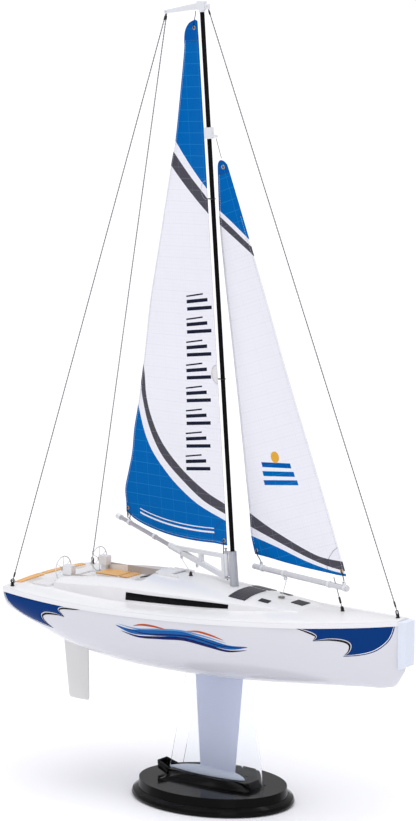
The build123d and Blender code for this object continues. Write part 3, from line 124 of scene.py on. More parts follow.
class SailPlane:
    """Plane of a sail: r runs aft from its hinge line, s up along it, and off to port."""

    def __init__(self, origin, up, trim):
        self.o = Vector(origin)
        self.up = Vector(up).normalized()
        aft = Vector((0, 1, 0)).cross(self.up).normalized()
        if aft.x > 0:
            aft = -aft
        a = math.radians(trim)
        self.d = aft * math.cos(a) + Vector((0, 1, 0)) * math.sin(a)
        self.n = self.d.cross(self.up)

    def at(self, r, s, off=0.0):
        return self.o + self.d * r + self.up * s + self.n * off


MAIN = SailPlane((15.5, 0, 219), MAST_DIR, 20.0)
JIB = SailPlane((142.0, 0, 191.0), (2.9 - 142.0, 0, 603.8 - 191.0), 10.5)


def boom_s(r):
    return -12.5 + 0.217 * r


JIB_NOSE, JIB_TAIL = (-13.2, 20.4), (96.5, 59.1)


def jib_s(r):
    return JIB_NOSE[1] + (r - JIB_NOSE[0]) * (JIB_TAIL[1] - JIB_NOSE[1]) / (JIB_TAIL[0] - JIB_NOSE[0])


# ------------------------------------------------------------------ materials
def new_material(name):
    m = bpy.data.materials.new(name)
    m.use_nodes = True
    nt = m.node_tree
    return m, nt, nt.nodes["Principled BSDF"]


def math_node(nt, op, a, b=None):
    n = nt.nodes.new("ShaderNodeMath")
    n.operation = op
    for i, v in enumerate((a, b)):
        if v is None:
            continue
        if isinstance(v, (int, float)):
            n.inputs[i].default_value = v
        else:
            nt.links.new(v, n.inputs[i])
    return n.outputs[0]


def mix_color(nt, fac, a, b):
    n = nt.nodes.new("ShaderNodeMix")
    n.data_type = "RGBA"
    for sock, v in ((n.inputs[0], fac), (n.inputs[6], a), (n.inputs[7], b)):
        if isinstance(v, (int, float)):
            sock.default_value = v
        elif isinstance(v, tuple):
            sock.default_value = v if len(v) == 4 else (*v, 1.0)
        else:
            nt.links.new(v, sock)
    return n.outputs[2]


def noise(nt, vec, scale, detail=3.0, rough=0.5):
    n = nt.nodes.new("ShaderNodeTexNoise")
    n.inputs["Scale"].default_value = scale
    n.inputs["Detail"].default_value = detail
    n.inputs["Roughness"].default_value = rough
    nt.links.new(vec, n.inputs["Vector"])
    return n.outputs["Fac"]


def add_bump(nt, bsdf, height, strength, distance):
    b = nt.nodes.new("ShaderNodeBump")
    b.inputs["Strength"].default_value = strength
    b.inputs["Distance"].default_value = distance
    nt.links.new(height, b.inputs["Height"])
    nt.links.new(b.outputs["Normal"], bsdf.inputs["Normal"])


def coords(nt, kind="Object"):
    t = nt.nodes.new("ShaderNodeTexCoord")
    return t.outputs[kind]


def surface(name, color, rough=0.4, metal=0.0, vary=0.06, scale=40.0, grain=900.0, bump=0.05, coat=0.0, spec=None, wear=None,
            stretch=None):
    """Moulded, painted or metal surface: broad tone variation, fine grain in the roughness and in the bump."""
    m, nt, bsdf = new_material(name)
    vec = coords(nt)
    if stretch:
        mp = nt.nodes.new("ShaderNodeMapping")
        mp.inputs["Scale"].default_value = stretch
        nt.links.new(vec, mp.inputs["Vector"])
        vec = mp.outputs[0]
    broad = noise(nt, vec, scale, 4.0)
    fine = noise(nt, vec, grain, 2.0)
    dark = tuple(c * (1 - vary) for c in color)
    light = tuple(min(c * (1 + vary * 0.5) + vary * 0.01, 1.0) for c in color)
    tone = mix_color(nt, broad, dark, light)
    if wear:
        geo = nt.nodes.new("ShaderNodeNewGeometry")
        edge = math_node(nt, "GREATER_THAN", geo.outputs["Pointiness"], 0.56)
        amount = math_node(nt, "MULTIPLY", edge, math_node(nt, "MULTIPLY", broad, 0.5))
        tone = mix_color(nt, amount, tone, wear)
    nt.links.new(tone, bsdf.inputs["Base Color"])
    r = nt.nodes.new("ShaderNodeMapRange")
    nt.links.new(fine, r.inputs["Value"])
    r.inputs["To Min"].default_value = max(rough - 0.05, 0.02)
    r.inputs["To Max"].default_value = rough + 0.07
    nt.links.new(r.outputs["Result"], bsdf.inputs["Roughness"])
    bsdf.inputs["Metallic"].default_value = metal
    if coat:
        bsdf.inputs["Coat Weight"].default_value = coat
        bsdf.inputs["Coat Roughness"].default_value = 0.06
    if spec is not None:
        bsdf.inputs["Specular IOR Level"].default_value = spec
    add_bump(nt, bsdf, fine, bump, 0.0002)
    return m


def sailcloth(name, base, line, major, glow=0.0):
    """Ripstop cloth: fine weave, a small grid and heavier threads every 10 mm, laid out in the sail's own r and s."""
    m, nt, bsdf = new_material(name)
    uv = coords(nt, "UV")
    sep = nt.nodes.new("ShaderNodeSeparateXYZ")
    nt.links.new(uv, sep.inputs[0])
    x, y = sep.outputs[0], sep.outputs[1]

    def lines(src, pitch, width):
        return math_node(nt, "LESS_THAN", math_node(nt, "FRACT", math_node(nt, "DIVIDE", src, pitch)), width)

    small = math_node(nt, "MAXIMUM", lines(x, 0.0034, 0.10), lines(y, 0.0034, 0.10))
    big = math_node(nt, "MAXIMUM", lines(y, 0.0102, 0.050), lines(x, 0.0204, 0.022))
    broad = noise(nt, coords(nt), 9.0, 3.0)
    tone = mix_color(nt, broad, tuple(c * 0.965 for c in base), tuple(min(c * 1.02, 1.0) for c in base))
    tone = mix_color(nt, math_node(nt, "MULTIPLY", small, 0.22), tone, line)
    tone = mix_color(nt, math_node(nt, "MULTIPLY", big, 0.42), tone, major)
    nt.links.new(tone, bsdf.inputs["Base Color"])
    weave = math_node(nt, "MULTIPLY", math_node(nt, "SINE", math_node(nt, "MULTIPLY", x, 9000.0)),
                      math_node(nt, "SINE", math_node(nt, "MULTIPLY", y, 9000.0)))
    height = math_node(nt, "ADD", math_node(nt, "MULTIPLY", weave, 0.25), math_node(nt, "ADD", small, big))
    wr = noise(nt, coords(nt), 26.0, 4.0)
    height = math_node(nt, "ADD", height, math_node(nt, "MULTIPLY", wr, 3.0))
    add_bump(nt, bsdf, height, 0.35, 0.00022)
    bsdf.inputs["Roughness"].default_value = 0.72
    bsdf.inputs["Sheen Weight"].default_value = 0.004
    bsdf.inputs["Specular IOR Level"].default_value = 0.015
    return m


WHITE = (0.86, 0.86, 0.90)
M = {}
M["hull"] = surface("hull_gloss_white", (0.66, 0.66, 0.705), 0.2, vary=0.015, scale=5.0, grain=500.0, bump=0.012, coat=0.35)
M["deck"] = surface("deck_gloss_white", (0.775, 0.775, 0.79), 0.26, vary=0.02, scale=8.0, grain=70.0, bump=0.004, coat=0.25)
for n in M["deck"].node_tree.nodes:
    if n.type == "MAP_RANGE":
        n.inputs["To Min"].default_value = 0.25
        n.inputs["To Max"].default_value = 0.27
M["rail"] = surface("rail_white", (0.80, 0.80, 0.82), 0.22, vary=0.02, scale=12.0, bump=0.02, coat=0.3)
M["bumper"] = surface("bumper_pale_blue", (0.70, 0.74, 0.83), 0.42, vary=0.04, scale=22.0, bump=0.06)
M["black_gloss"] = surface("window_gloss_black", (0.003, 0.003, 0.004), 0.14, vary=0.2, scale=30.0, bump=0.02, spec=0.08)
M["stand"] = surface("stand_gloss_black", (0.003, 0.003, 0.003), 0.11, vary=0.25, scale=18.0, grain=350.0, bump=0.02, spec=0.08, wear=(0.010, 0.010, 0.011))
M["pad"] = surface("stand_pad_rubber", (0.02, 0.02, 0.021), 0.75, vary=0.2, scale=60.0, bump=0.3)
M["panel"] = surface("roof_panel_grey", (0.024, 0.025, 0.031), 0.38, vary=0.15, scale=50.0, bump=0.05, spec=0.2)
M["keel"] = surface("keel_pale_blue", (0.68, 0.73, 0.91), 0.4, vary=0.05, scale=10.0, grain=650.0, bump=0.06, coat=0.15)
M["bulb"] = surface("bulb_pale_blue", (0.66, 0.72, 0.84), 0.3, vary=0.05, scale=14.0, grain=650.0, bump=0.05, coat=0.25)
M["rudder"] = surface("rudder_warm_grey", (0.76, 0.75, 0.74), 0.5, vary=0.03, scale=16.0, grain=800.0, bump=0.12)
M["mast"] = surface("mast_black", (0.004, 0.0035, 0.004), 0.3, vary=0.2, scale=30.0, bump=0.05, spec=0.03, stretch=(1, 1, 0.1))
M["step"] = surface("mast_step_grey", (0.42, 0.43, 0.47), 0.34, metal=0.35, vary=0.06, scale=60.0, bump=0.06, stretch=(1, 1, 0.15))
M["boom"] = surface("boom_satin_white", (0.42, 0.42, 0.455), 0.24, metal=0.3, vary=0.05, scale=50.0, bump=0.04, coat=0.2)
M["boom_pale"] = surface("boom_pale_white", (0.62, 0.62, 0.65), 0.24, metal=0.1, vary=0.05, scale=50.0, bump=0.02, coat=0.2)
M["fit_white"] = surface("fitting_white", (0.72, 0.73, 0.76), 0.36, vary=0.04, scale=50.0, bump=0.06)
M["fit_black"] = surface("fitting_black", (0.012, 0.012, 0.013), 0.42, vary=0.2, scale=70.0, bump=0.08)
M["steel"] = surface("wire_steel", (0.24, 0.235, 0.23), 0.34, metal=0.75, vary=0.15, scale=120.0, bump=0.08)
M["dark_steel"] = surface("hook_dark_steel", (0.035, 0.03, 0.028), 0.34, metal=0.6, vary=0.2, scale=120.0, bump=0.08)
M["brass"] = surface("eyelet_brass", (0.60, 0.42, 0.18), 0.28, metal=1.0, vary=0.12, scale=150.0, bump=0.05)
M["wheel"] = surface("wheel_rim_pale", (0.72, 0.72, 0.70), 0.32, metal=0.15, vary=0.06, scale=60.0, bump=0.04)
# painted shade: taupe stands in for the shade on the cockpit's white inner walls
M["taupe"] = surface("coaming_painted_shade_taupe", (0.46, 0.415, 0.39), 0.5, vary=0.08, scale=30.0, bump=0.12)
M["blue_print"] = surface("hull_print_blue", (0.0008, 0.036, 0.18), 0.22, vary=0.05, scale=14.0, bump=0.02, spec=0.05)
M["navy_print"] = surface("hull_print_navy", (0.004, 0.008, 0.10), 0.2, vary=0.08, scale=30.0, bump=0.02, spec=0.12)
M["mid_blue_print"] = surface("hull_print_mid_blue", (0.004, 0.105, 0.36), 0.2, vary=0.08, scale=30.0, bump=0.02, spec=0.12)
M["sky_print"] = surface("hull_print_sky", (0.10, 0.26, 0.56), 0.2, vary=0.08, scale=30.0, bump=0.02, spec=0.12)
M["orange_print"] = surface("hull_print_orange", (0.50, 0.085, 0.02), 0.2, vary=0.12, scale=30.0, bump=0.02, spec=0.12)
M["white_print"] = surface("hull_print_white", (0.90, 0.90, 0.93), 0.2, vary=0.02, scale=30.0, bump=0.02, coat=0.5)
M["black_print"] = surface("hull_print_black", (0.005, 0.005, 0.006), 0.2, vary=0.1, scale=30.0, bump=0.02, spec=0.12)
M["thread"] = surface("stitch_thread", (0.03, 0.05, 0.09), 0.6, vary=0.2, scale=300.0, bump=0.1)
M["thread_pale"] = surface("stitch_thread_pale", (0.55, 0.56, 0.60), 0.6, vary=0.1, scale=300.0, bump=0.1)
M["line"] = surface("sheet_line_pale", (0.62, 0.62, 0.60), 0.6, vary=0.15, scale=400.0, bump=0.2)
M["cloth_white"] = sailcloth("sailcloth_white", (0.865, 0.865, 0.92), (0.74, 0.74, 0.81), (0.78, 0.78, 0.84))
M["cloth_blue"] = sailcloth("sailcloth_blue", (0.0004, 0.128, 0.44), (0.0006, 0.155, 0.48), (0.03, 0.29, 0.62))
M["cloth_head"] = sailcloth("sailcloth_head_blue", (0.0006, 0.098, 0.39), (0.001, 0.115, 0.42), (0.03, 0.22, 0.55))
M["cloth_grey"] = sailcloth("sailcloth_grey", (0.078, 0.076, 0.095), (0.10, 0.10, 0.125), (0.22, 0.22, 0.27))
M["cloth_navy"] = sailcloth("sailcloth_navy", (0.010, 0.013, 0.032), (0.016, 0.018, 0.042), (0.03, 0.034, 0.06))
M["cloth_orange"] = sailcloth("sailcloth_orange", (0.78, 0.40, 0.05), (0.80, 0.43, 0.08), (0.84, 0.50, 0.16))


def clear_material(name, tint, rough):
    m, nt, bsdf = new_material(name)
    vec = coords(nt)
    fac = noise(nt, vec, 30.0, 3.0)
    nt.links.new(mix_color(nt, fac, tuple(c * 0.985 for c in tint), tint), bsdf.inputs["Base Color"])
    bsdf.inputs["Roughness"].default_value = rough
    bsdf.inputs["IOR"].default_value = 1.12
    bsdf.inputs["Transmission Weight"].default_value = 1.0
    add_bump(nt, bsdf, noise(nt, vec, 14.0, 2.0), 0.03, 0.0005)
    return m


M["clear"] = clear_material("clear_sheet", (0.97, 0.98, 0.99), 0.015)
M["patch"] = surface("clear_patch", (0.72, 0.70, 0.71), 0.25, vary=0.05, scale=60.0, bump=0.05)


def teak_material():
    m, nt, bsdf = new_material("teak_planks")
    vec = coords(nt)
    sep = nt.nodes.new("ShaderNodeSeparateXYZ")
    nt.links.new(vec, sep.inputs[0])
    mp = nt.nodes.new("ShaderNodeMapping")
    mp.inputs["Scale"].default_value = (40.0, 900.0, 400.0)
    nt.links.new(vec, mp.inputs["Vector"])
    grain = noise(nt, mp.outputs[0], 1.0, 5.0, 0.6)
    broad = noise(nt, vec, 60.0, 2.0)
    plank = math_node(nt, "FRACT", math_node(nt, "DIVIDE", sep.outputs[1], 0.0036))
    seam = math_node(nt, "LESS_THAN", plank, 0.13)
    tone = mix_color(nt, grain, (0.62, 0.30, 0.09), (0.90, 0.55, 0.22))
    tone = mix_color(nt, math_node(nt, "MULTIPLY", broad, 0.35), tone, (0.80, 0.45, 0.16))
    tone = mix_color(nt, math_node(nt, "MULTIPLY", seam, 0.55), tone, (0.22, 0.10, 0.04))
    nt.links.new(tone, bsdf.inputs["Base Color"])
    bsdf.inputs["Roughness"].default_value = 0.45
    add_bump(nt, bsdf, math_node(nt, "SUBTRACT", grain, seam), 0.3, 0.0003)
    return m


M["teak"] = teak_material()


def solar_material():
    """Dark roof panel with a fine printed grid."""
    m, nt, bsdf = new_material("roof_panel_grid")
    vec = coords(nt)
    sep = nt.nodes.new("ShaderNodeSeparateXYZ")
    nt.links.new(vec, sep.inputs[0])

    def lines(src, pitch, width):
        return math_node(nt, "LESS_THAN", math_node(nt, "FRACT", math_node(nt, "DIVIDE", src, pitch)), width)

    g = math_node(nt, "MAXIMUM", lines(sep.outputs[0], 0.0045, 0.08), lines(sep.outputs[1], 0.0045, 0.08))
    tone = mix_color(nt, noise(nt, vec, 90.0, 3.0), (0.026, 0.026, 0.032), (0.045, 0.045, 0.055))
    tone = mix_color(nt, math_node(nt, "MULTIPLY", g, 0.6), tone, (0.11, 0.11, 0.13))
    nt.links.new(tone, bsdf.inputs["Base Color"])
    bsdf.inputs["Roughness"].default_value = 0.36
    bsdf.inputs["Specular IOR Level"].default_value = 0.2
    add_bump(nt, bsdf, g, 0.15, 0.0002)
    return m


M["solar"] = solar_material()


# ------------------------------------------------------------------ mesh helpers
def obj_from(name, verts, faces, body, mats, slot=None, smooth=True, face_mats=None, uvs=None, replaces=()):
    me = bpy.data.meshes.new(name)
    me.from_pydata([tuple(Vector(v) * MM) for v in verts], [], faces)
    me.validate()
    for m in (mats if isinstance(mats, (list, tuple)) else [mats]):
        me.materials.append(m)
    if face_mats:
        for p, k in zip(me.polygons, face_mats):
            p.material_index = k
    if uvs:
        layer = me.uv_layers.new(name="rs")
        for loop in me.loops:
            layer.data[loop.index].uv = uvs[loop.vertex_index]
    if smooth:
        me.polygons.foreach_set("use_smooth", [True] * len(me.polygons))
    me.update()
    o = bpy.data.objects.new(name, me)
    scene.collection.objects.link(o)
    if body:
        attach(o, body)
    if replaces:
        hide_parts(*replaces)
    return o


def sharpen(o, angle=35.0):
    """Smooth shading with the sharper edges kept crisp."""
    me = o.data
    import_edges = {}
    for p in me.polygons:
        for k in p.edge_keys:
            import_edges.setdefault(k, []).append(p.normal.copy())
    limit = math.cos(math.radians(angle))
    attr = me.attributes.get("sharp_edge") or me.attributes.new("sharp_edge", "BOOLEAN", "EDGE")
    for e in me.edges:
        ns = import_edges.get(tuple(sorted(e.vertices)), [])
        attr.data[e.index].value = len(ns) == 2 and ns[0].dot(ns[1]) < limit
    return o


def frames(pts, closed=False):
    """Directions and side vectors carried along a path without twist."""
    n = len(pts)
    tang = []
    for i in range(n):
        if closed:
            t = pts[(i + 1) % n] - pts[i - 1]
        else:
            t = pts[min(i + 1, n - 1)] - pts[max(i - 1, 0)]
        tang.append(t.normalized())
    ref = Vector((0, 0, 1)) if abs(tang[0].z) < 0.9 else Vector((1, 0, 0))
    side = (ref - tang[0] * ref.dot(tang[0])).normalized()
    sides = [side]
    for i in range(1, n):
        side = (side - tang[i] * side.dot(tang[i]))
        side.normalize()
        sides.append(side)
    return tang, sides


def tube_data(pts, r, segs=10, closed=False, taper=None):
    pts = [Vector(p) for p in pts]
    tang, sides = frames(pts, closed)
    verts, faces = [], []
    n = len(pts)
    for i, p in enumerate(pts):
        up = tang[i].cross(sides[i])
        rr = r * (taper[i] if taper else 1.0)
        for k in range(segs):
            a = 2 * math.pi * k / segs
            verts.append(p + sides[i] * (rr * math.cos(a)) + up * (rr * math.sin(a)))
    for i in range(n if closed else n - 1):
        j = (i + 1) % n
        for k in range(segs):
            l = (k + 1) % segs
            faces.append((i * segs + k, i * segs + l, j * segs + l, j * segs + k))
    if not closed:
        faces.append(tuple(range(segs - 1, -1, -1)))
        faces.append(tuple((n - 1) * segs + k for k in range(segs)))
    return verts, faces


def join(parts):
    verts, faces = [], []
    for v, f in parts:
        base = len(verts)
        verts += v
        faces += [tuple(i + base for i in face) for face in f]
    return verts, faces


def catmull(pts, per=6, closed=False):
    pts = [Vector(p) for p in pts]
    n = len(pts)
    out = []
    for i in range(n if closed else n - 1):
        p1, p2 = pts[i], pts[(i + 1) % n]
        p0 = pts[i - 1] if (closed or i > 0) else p1 * 2 - p2
        p3 = pts[(i + 2) % n] if (closed or i + 2 < n) else p2 * 2 - p1
        for k in range(per):
            t = k / per
            out.append(0.5 * ((2 * p1) + (p2 - p0) * t + (2 * p0 - 5 * p1 + 4 * p2 - p3) * t * t + (3 * p1 - p0 - 3 * p2 + p3) * t ** 3))
    if not closed:
        out.append(pts[-1])
    return out


def ring_pts(c, normal, r, n=32, start=0.0, sweep=360.0):
    normal = Vector(normal).normalized()
    ref = Vector((0, 0, 1)) if abs(normal.z) < 0.9 else Vector((1, 0, 0))
    a = normal.cross(ref).normalized()
    b = normal.cross(a)
    count = n if sweep == 360.0 else n + 1
    return [Vector(c) + a * (r * math.cos(math.radians(start + sweep * k / n))) + b * (r * math.sin(math.radians(start + sweep * k / n)))
            for k in range(count)]


def torus_data(c, normal, r, t, n=32, segs=10):
    return tube_data(ring_pts(c, normal, r, n), t, segs, closed=True)


def lathe_data(profile, origin, axis, segs=48):
    """Closed turned form: profile is (radius, along), from one end to the other."""
    axis = Vector(axis).normalized()
    ref = Vector((0, 0, 1)) if abs(axis.z) < 0.9 else Vector((1, 0, 0))
    a = axis.cross(ref).normalized()
    b = axis.cross(a)
    o = Vector(origin)
    verts, faces, rings = [], [], []
    for r, t in profile:
        if r < 1e-6:
            rings.append([len(verts)])
            verts.append(o + axis * t)
        else:
            rings.append(list(range(len(verts), len(verts) + segs)))
            for k in range(segs):
                an = 2 * math.pi * k / segs
                verts.append(o + axis * t + a * (r * math.cos(an)) + b * (r * math.sin(an)))
    for p, q in zip(rings, rings[1:]):
        for k in range(segs):
            l = (k + 1) % segs
            if len(p) == 1 and len(q) == 1:
                continue
            if len(p) == 1:
                faces.append((p[0], q[l], q[k]))
            elif len(q) == 1:
                faces.append((p[k], p[l], q[0]))
            else:
                faces.append((p[k], p[l], q[l], q[k]))
    if len(rings[0]) > 1:
        faces.append(tuple(reversed(rings[0])))
    if len(rings[-1]) > 1:
        faces.append(tuple(rings[-1]))
    return verts, faces


def fix_normals(o):
    import bmesh
    bm = bmesh.new()
    bm.from_mesh(o.data)
    bmesh.ops.remove_doubles(bm, verts=bm.verts, dist=1e-7)
    bmesh.ops.recalc_face_normals(bm, faces=bm.faces)
    bm.to_mesh(o.data)
    bm.free()
    return o


def inside(p, poly):
    x, y = p
    hit = False
    j = len(poly) - 1
    for i in range(len(poly)):
        xi, yi = poly[i]
        xj, yj = poly[j]
        if (yi > y) != (yj > y) and x < (xj - xi) * (y - yi) / (yj - yi) + xi:
            hit = not hit
        j = i
    return hit


def smooth2(pts, per=5, closed=False):
    return [(v[0], v[1]) for v in catmull([Vector((p[0], p[1], 0)) for p in pts], per, closed)]


def dense(pts, step, closed=True):
    out = []
    n = len(pts)
    for i in range(n if closed else n - 1):
        a, b = pts[i], pts[(i + 1) % n]
        L = math.hypot(b[0] - a[0], b[1] - a[1])
        k = max(1, int(round(L / step)))
        for j in range(k):
            out.append((a[0] + (b[0] - a[0]) * j / k, a[1] + (b[1] - a[1]) * j / k))
    if not closed:
        out.append(pts[-1])
    return out


def tidy(pts, gap=0.25):
    out = []
    for p in pts:
        if not out or math.hypot(p[0] - out[-1][0], p[1] - out[-1][1]) > gap:
            out.append(p)
    while len(out) > 2 and math.hypot(out[0][0] - out[-1][0], out[0][1] - out[-1][1]) < gap:
        out.pop()
    return out


def panelled(outline, loops, grid=5.0):
    """Triangles that fill the outline and keep every loop's edge: returns 2-D vertices and triangles."""
    pts, edges = [], []

    def loop_in(poly, closed=True):
        base = len(pts)
        pts.extend(Vector(p) for p in poly)
        n = len(poly)
        for i in range(n if closed else n - 1):
            edges.append((base + i, base + (i + 1) % n))

    loop_in(outline)
    for poly in loops:
        loop_in(poly)
    if grid:
        xs = [p[0] for p in outline]
        ys = [p[1] for p in outline]
        row = 0
        y = min(ys) + grid * 0.5
        near = [(p[0], p[1]) for p in pts]
        cell = {}
        for p in near:
            cell.setdefault((int(p[0] // grid), int(p[1] // grid)), []).append(p)
        while y < max(ys):
            x = min(xs) + (0.5 if row % 2 else 0.0) * grid
            while x < max(xs):
                if inside((x, y), outline):
                    cx, cy = int(x // grid), int(y // grid)
                    ok = True
                    for i in (-1, 0, 1):
                        for j in (-1, 0, 1):
                            for q in cell.get((cx + i, cy + j), ()):
                                if math.hypot(q[0] - x, q[1] - y) < grid * 0.45:
                                    ok = False
                    if ok:
                        pts.append(Vector((x, y)))
                x += grid
            y += grid * 0.866
            row += 1
    v, e, f, ov, oe, of_ = delaunay_2d_cdt([Vector((p[0], p[1])) for p in pts], edges, [], 0, 1e-4)
    tris = []
    for t in f:
        c = (sum(v[i][0] for i in t) / 3, sum(v[i][1] for i in t) / 3)
        if inside(c, outline):
            tris.append(tuple(t))
    used = sorted({i for t in tris for i in t})
    index = {k: i for i, k in enumerate(used)}
    return [(v[i][0], v[i][1]) for i in used], [tuple(index[i] for i in t) for t in tris]


def weld_node(name, bevel=0.0, angle=35.0, segs=2):
    o = nodes[name]
    w = o.modifiers.new("weld", "WELD")
    w.merge_threshold = 2e-6
    if bevel:
        b = o.modifiers.new("bevel", "BEVEL")
        b.width = bevel * MM
        b.segments = segs
        b.limit_method = "ANGLE"
        b.angle_limit = math.radians(angle)
        b.harden_normals = False
        b.use_clamp_overlap = True
    return o


def paint(name, material):
    o = nodes[name]
    if not o.data.materials:
        o.data.materials.append(material)
    for s in o.material_slots:
        s.material = material
    return o


# ------------------------------------------------------------------ hull
def hull_mesh():
    xs = []
    x = -191.0
    while x < 186.0:
        xs.append(x)
        x += 2.5
    xs += [186, 187.5, 189, 190.5, 192, 193.5, 195, 196.5, 198, 199.2, 200.4, 201.6, 202.6, 203.6, 204.5]
    nv = 112
    verts, faces = [], []
    for x in xs:
        B, K, n, S = station(x, 1), station(x, 2), station(x, 3), sheer(x)
        for i in range(nv + 1):
            t = math.pi * i / nv
            c, s_ = math.cos(t), math.sin(t)
            y = math.copysign(B * abs(c) ** (2 / n), c) if abs(c) > 1e-9 else 0.0
            z = S - (S - K) * max(s_, 0.0) ** (2 / n)
            verts.append((x, y, z))
    w = nv + 1
    for i in range(len(xs) - 1):
        for k in range(nv):
            faces.append((i * w + k, i * w + k + 1, (i + 1) * w + k + 1, (i + 1) * w + k))
        faces.append((i * w + nv, i * w, (i + 1) * w, (i + 1) * w + nv))
    faces.append(tuple(range(nv, -1, -1)))
    faces.append(tuple((len(xs) - 1) * w + k for k in range(nv + 1)))
    return verts, faces


v, f = hull_mesh()
hull = fix_normals(obj_from("hull_skin", v, f, "boat", M["hull"], "hull_white", replaces=["hull_shell"]))
sharpen(hull, 40)

# printed film on the hull, on both sides
BOW = [(115.4, 183.0), (128, 183.9), (140.1, 184.7), (152, 185.7), (165.5, 186.7), (178, 187.9), (190, 188.9), (201.8, 189.9)]
BOW_RIGHT = [(201.8, 189.9), (200.4, 183.5), (197.6, 177.0), (192.6, 171.2), (186.0, 166.2), (178.1, 162.9), (168.5, 160.6), (158.1, 159.3)]
BOW_IN = [[(158.1, 159.3), (163.2, 163.1), (165.9, 167.6), (165.9, 171.6), (162.9, 174.3), (156.8, 175.6), (148.0, 175.4), (140.6, 173.9), (133.4, 171.8)],
          [(133.4, 171.8), (136.6, 174.8), (136.9, 177.4), (133.6, 179.6), (128.4, 181.2), (122.4, 182.3), (115.4, 183.0)]]
STERN = [(-189.6, 179.2), (-170, 177.6), (-150, 176.4), (-130, 175.7), (-112, 175.4), (-94.5, 175.4)]
STERN_IN = [[(-94.5, 175.4), (-103.0, 175.0), (-112.0, 174.9), (-119.6, 174.5), (-124.6, 172.4), (-124.4, 169.6), (-118.6, 165.0)],
            [(-118.6, 165.0), (-124.8, 166.6), (-130.8, 167.2), (-137.0, 167.2), (-142.4, 166.2), (-146.6, 163.2), (-146.8, 158.6), (-143.2, 154.6), (-137.2, 150.6)]]
STERN_OUT = [(-137.2, 150.6), (-148.0, 151.8), (-159.6, 153.9), (-168.6, 156.0), (-176.4, 159.2), (-182.4, 163.2), (-186.8, 168.4), (-189.2, 174.4), (-189.6, 179.2)]


def film_poly(*runs):
    pts = []
    for run in runs:
        pts += smooth2(run, 5)[:-1]
    return tidy(pts, 0.3)


def crescent(run, depth, side=1):
    """Thin crescent that lies outside one scallop of a print."""
    c = smooth2(run, 6)
    n = len(c)
    out, inner = [], []
    for i, p in enumerate(c):
        a, b = c[max(i - 1, 0)], c[min(i + 1, n - 1)]
        dx, dy = b[0] - a[0], b[1] - a[1]
        L = math.hypot(dx, dy) or 1
        w_ = math.sin(math.pi * i / (n - 1)) ** 0.9
        g = 0.15 + 0.75 * w_
        k = g + depth * w_
        inner.append((p[0] - side * dy / L * g, p[1] + side * dx / L * g))
        out.append((p[0] - side * dy / L * k, p[1] + side * dx / L * k))
    return tidy(inner + list(reversed(out[1:-1])), 0.15)


def wave(pts, width):
    """Pointed ribbon along a smooth line."""
    c = smooth2(pts, 7)
    n = len(c)
    top, low = [], []
    for i, p in enumerate(c):
        a, b = c[max(i - 1, 0)], c[min(i + 1, n - 1)]
        dx, dy = b[0] - a[0], b[1] - a[1]
        L = math.hypot(dx, dy) or 1
        k = width * math.sin(math.pi * i / (n - 1)) ** 0.7
        top.append((p[0] - dy / L * k, p[1] + dx / L * k))
        low.append((p[0] + dy / L * k, p[1] - dx / L * k))
    return tidy(top + list(reversed(low[1:-1])), 0.15)


def film(name, poly, mat, lift, body="boat", grid=2.6):
    """Printed film on both sides of the hull, poly in x and z."""
    poly = dense(poly, 2.5)
    p2, tris = panelled(poly, [], grid)
    verts, faces = [], []
    for side in (-1, 1):
        for layer in (-0.15, lift + 0.04):
            base = len(verts)
            for x, z in p2:
                z = min(z, sheer(x) - 0.4)
                w = half_width(x, z)
                dz = (half_width(x, z + 0.5) - half_width(x, z - 0.5))
                dx = (half_width(x + 0.5, z) - half_width(x - 0.5, z))
                nrm = Vector((-dx, 1.0, -dz)).normalized()
                p = Vector((x, w, z)) + nrm * layer
                verts.append(Vector((p.x, side * p.y, p.z)))
            if layer > 0:
                for t in tris:
                    faces.append(tuple(base + i for i in (t if side > 0 else reversed(t))))
            else:
                for t in tris:
                    faces.append(tuple(base + i for i in (reversed(t) if side > 0 else t)))
        # close the film's edge
        n = len(p2)
        base = len(verts) - 2 * n
        count = {}
        for t in tris:
            for a, b in ((t[0], t[1]), (t[1], t[2]), (t[2], t[0])):
                count[(a, b)] = count.get((a, b), 0) + 1
        for (a, b) in list(count):
            if (b, a) not in count:
                faces.append((base + a, base + b, base + n + b, base + n + a))
    o = obj_from(name, verts, faces, body, mat, "hull_white")
    fix_normals(o)
    return o


bow_panel = film_poly(BOW, BOW_RIGHT, BOW_IN[0], BOW_IN[1])
stern_panel = film_poly(STERN, STERN_IN[0], STERN_IN[1], STERN_OUT)


def grow(poly, d):
    n = len(poly)
    area = sum(poly[i][0] * poly[(i + 1) % n][1] - poly[(i + 1) % n][0] * poly[i][1] for i in range(n))
    s_ = 1 if area > 0 else -1
    out = []
    for i in range(n):
        a, b = poly[i - 1], poly[(i + 1) % n]
        dx, dy = b[0] - a[0], b[1] - a[1]
        L = math.hypot(dx, dy) or 1
        out.append((poly[i][0] + s_ * dy / L * d, poly[i][1] - s_ * dx / L * d))
    return out


def inner_line(run, inset, width):
    c = smooth2(run, 6)
    n = len(c)
    a_, b_ = [], []
    for i, p in enumerate(c):
        a, b = c[max(i - 1, 0)], c[min(i + 1, n - 1)]
        dx, dy = b[0] - a[0], b[1] - a[1]
        L = math.hypot(dx, dy) or 1
        k = math.sin(math.pi * (i + 0.5) / n) ** 0.5
        a_.append((p[0] - dy / L * inset, p[1] + dx / L * inset))
        b_.append((p[0] - dy / L * (inset + width * k + 0.06), p[1] + dx / L * (inset + width * k + 0.06)))
    return tidy(a_ + list(reversed(b_)), 0.1)


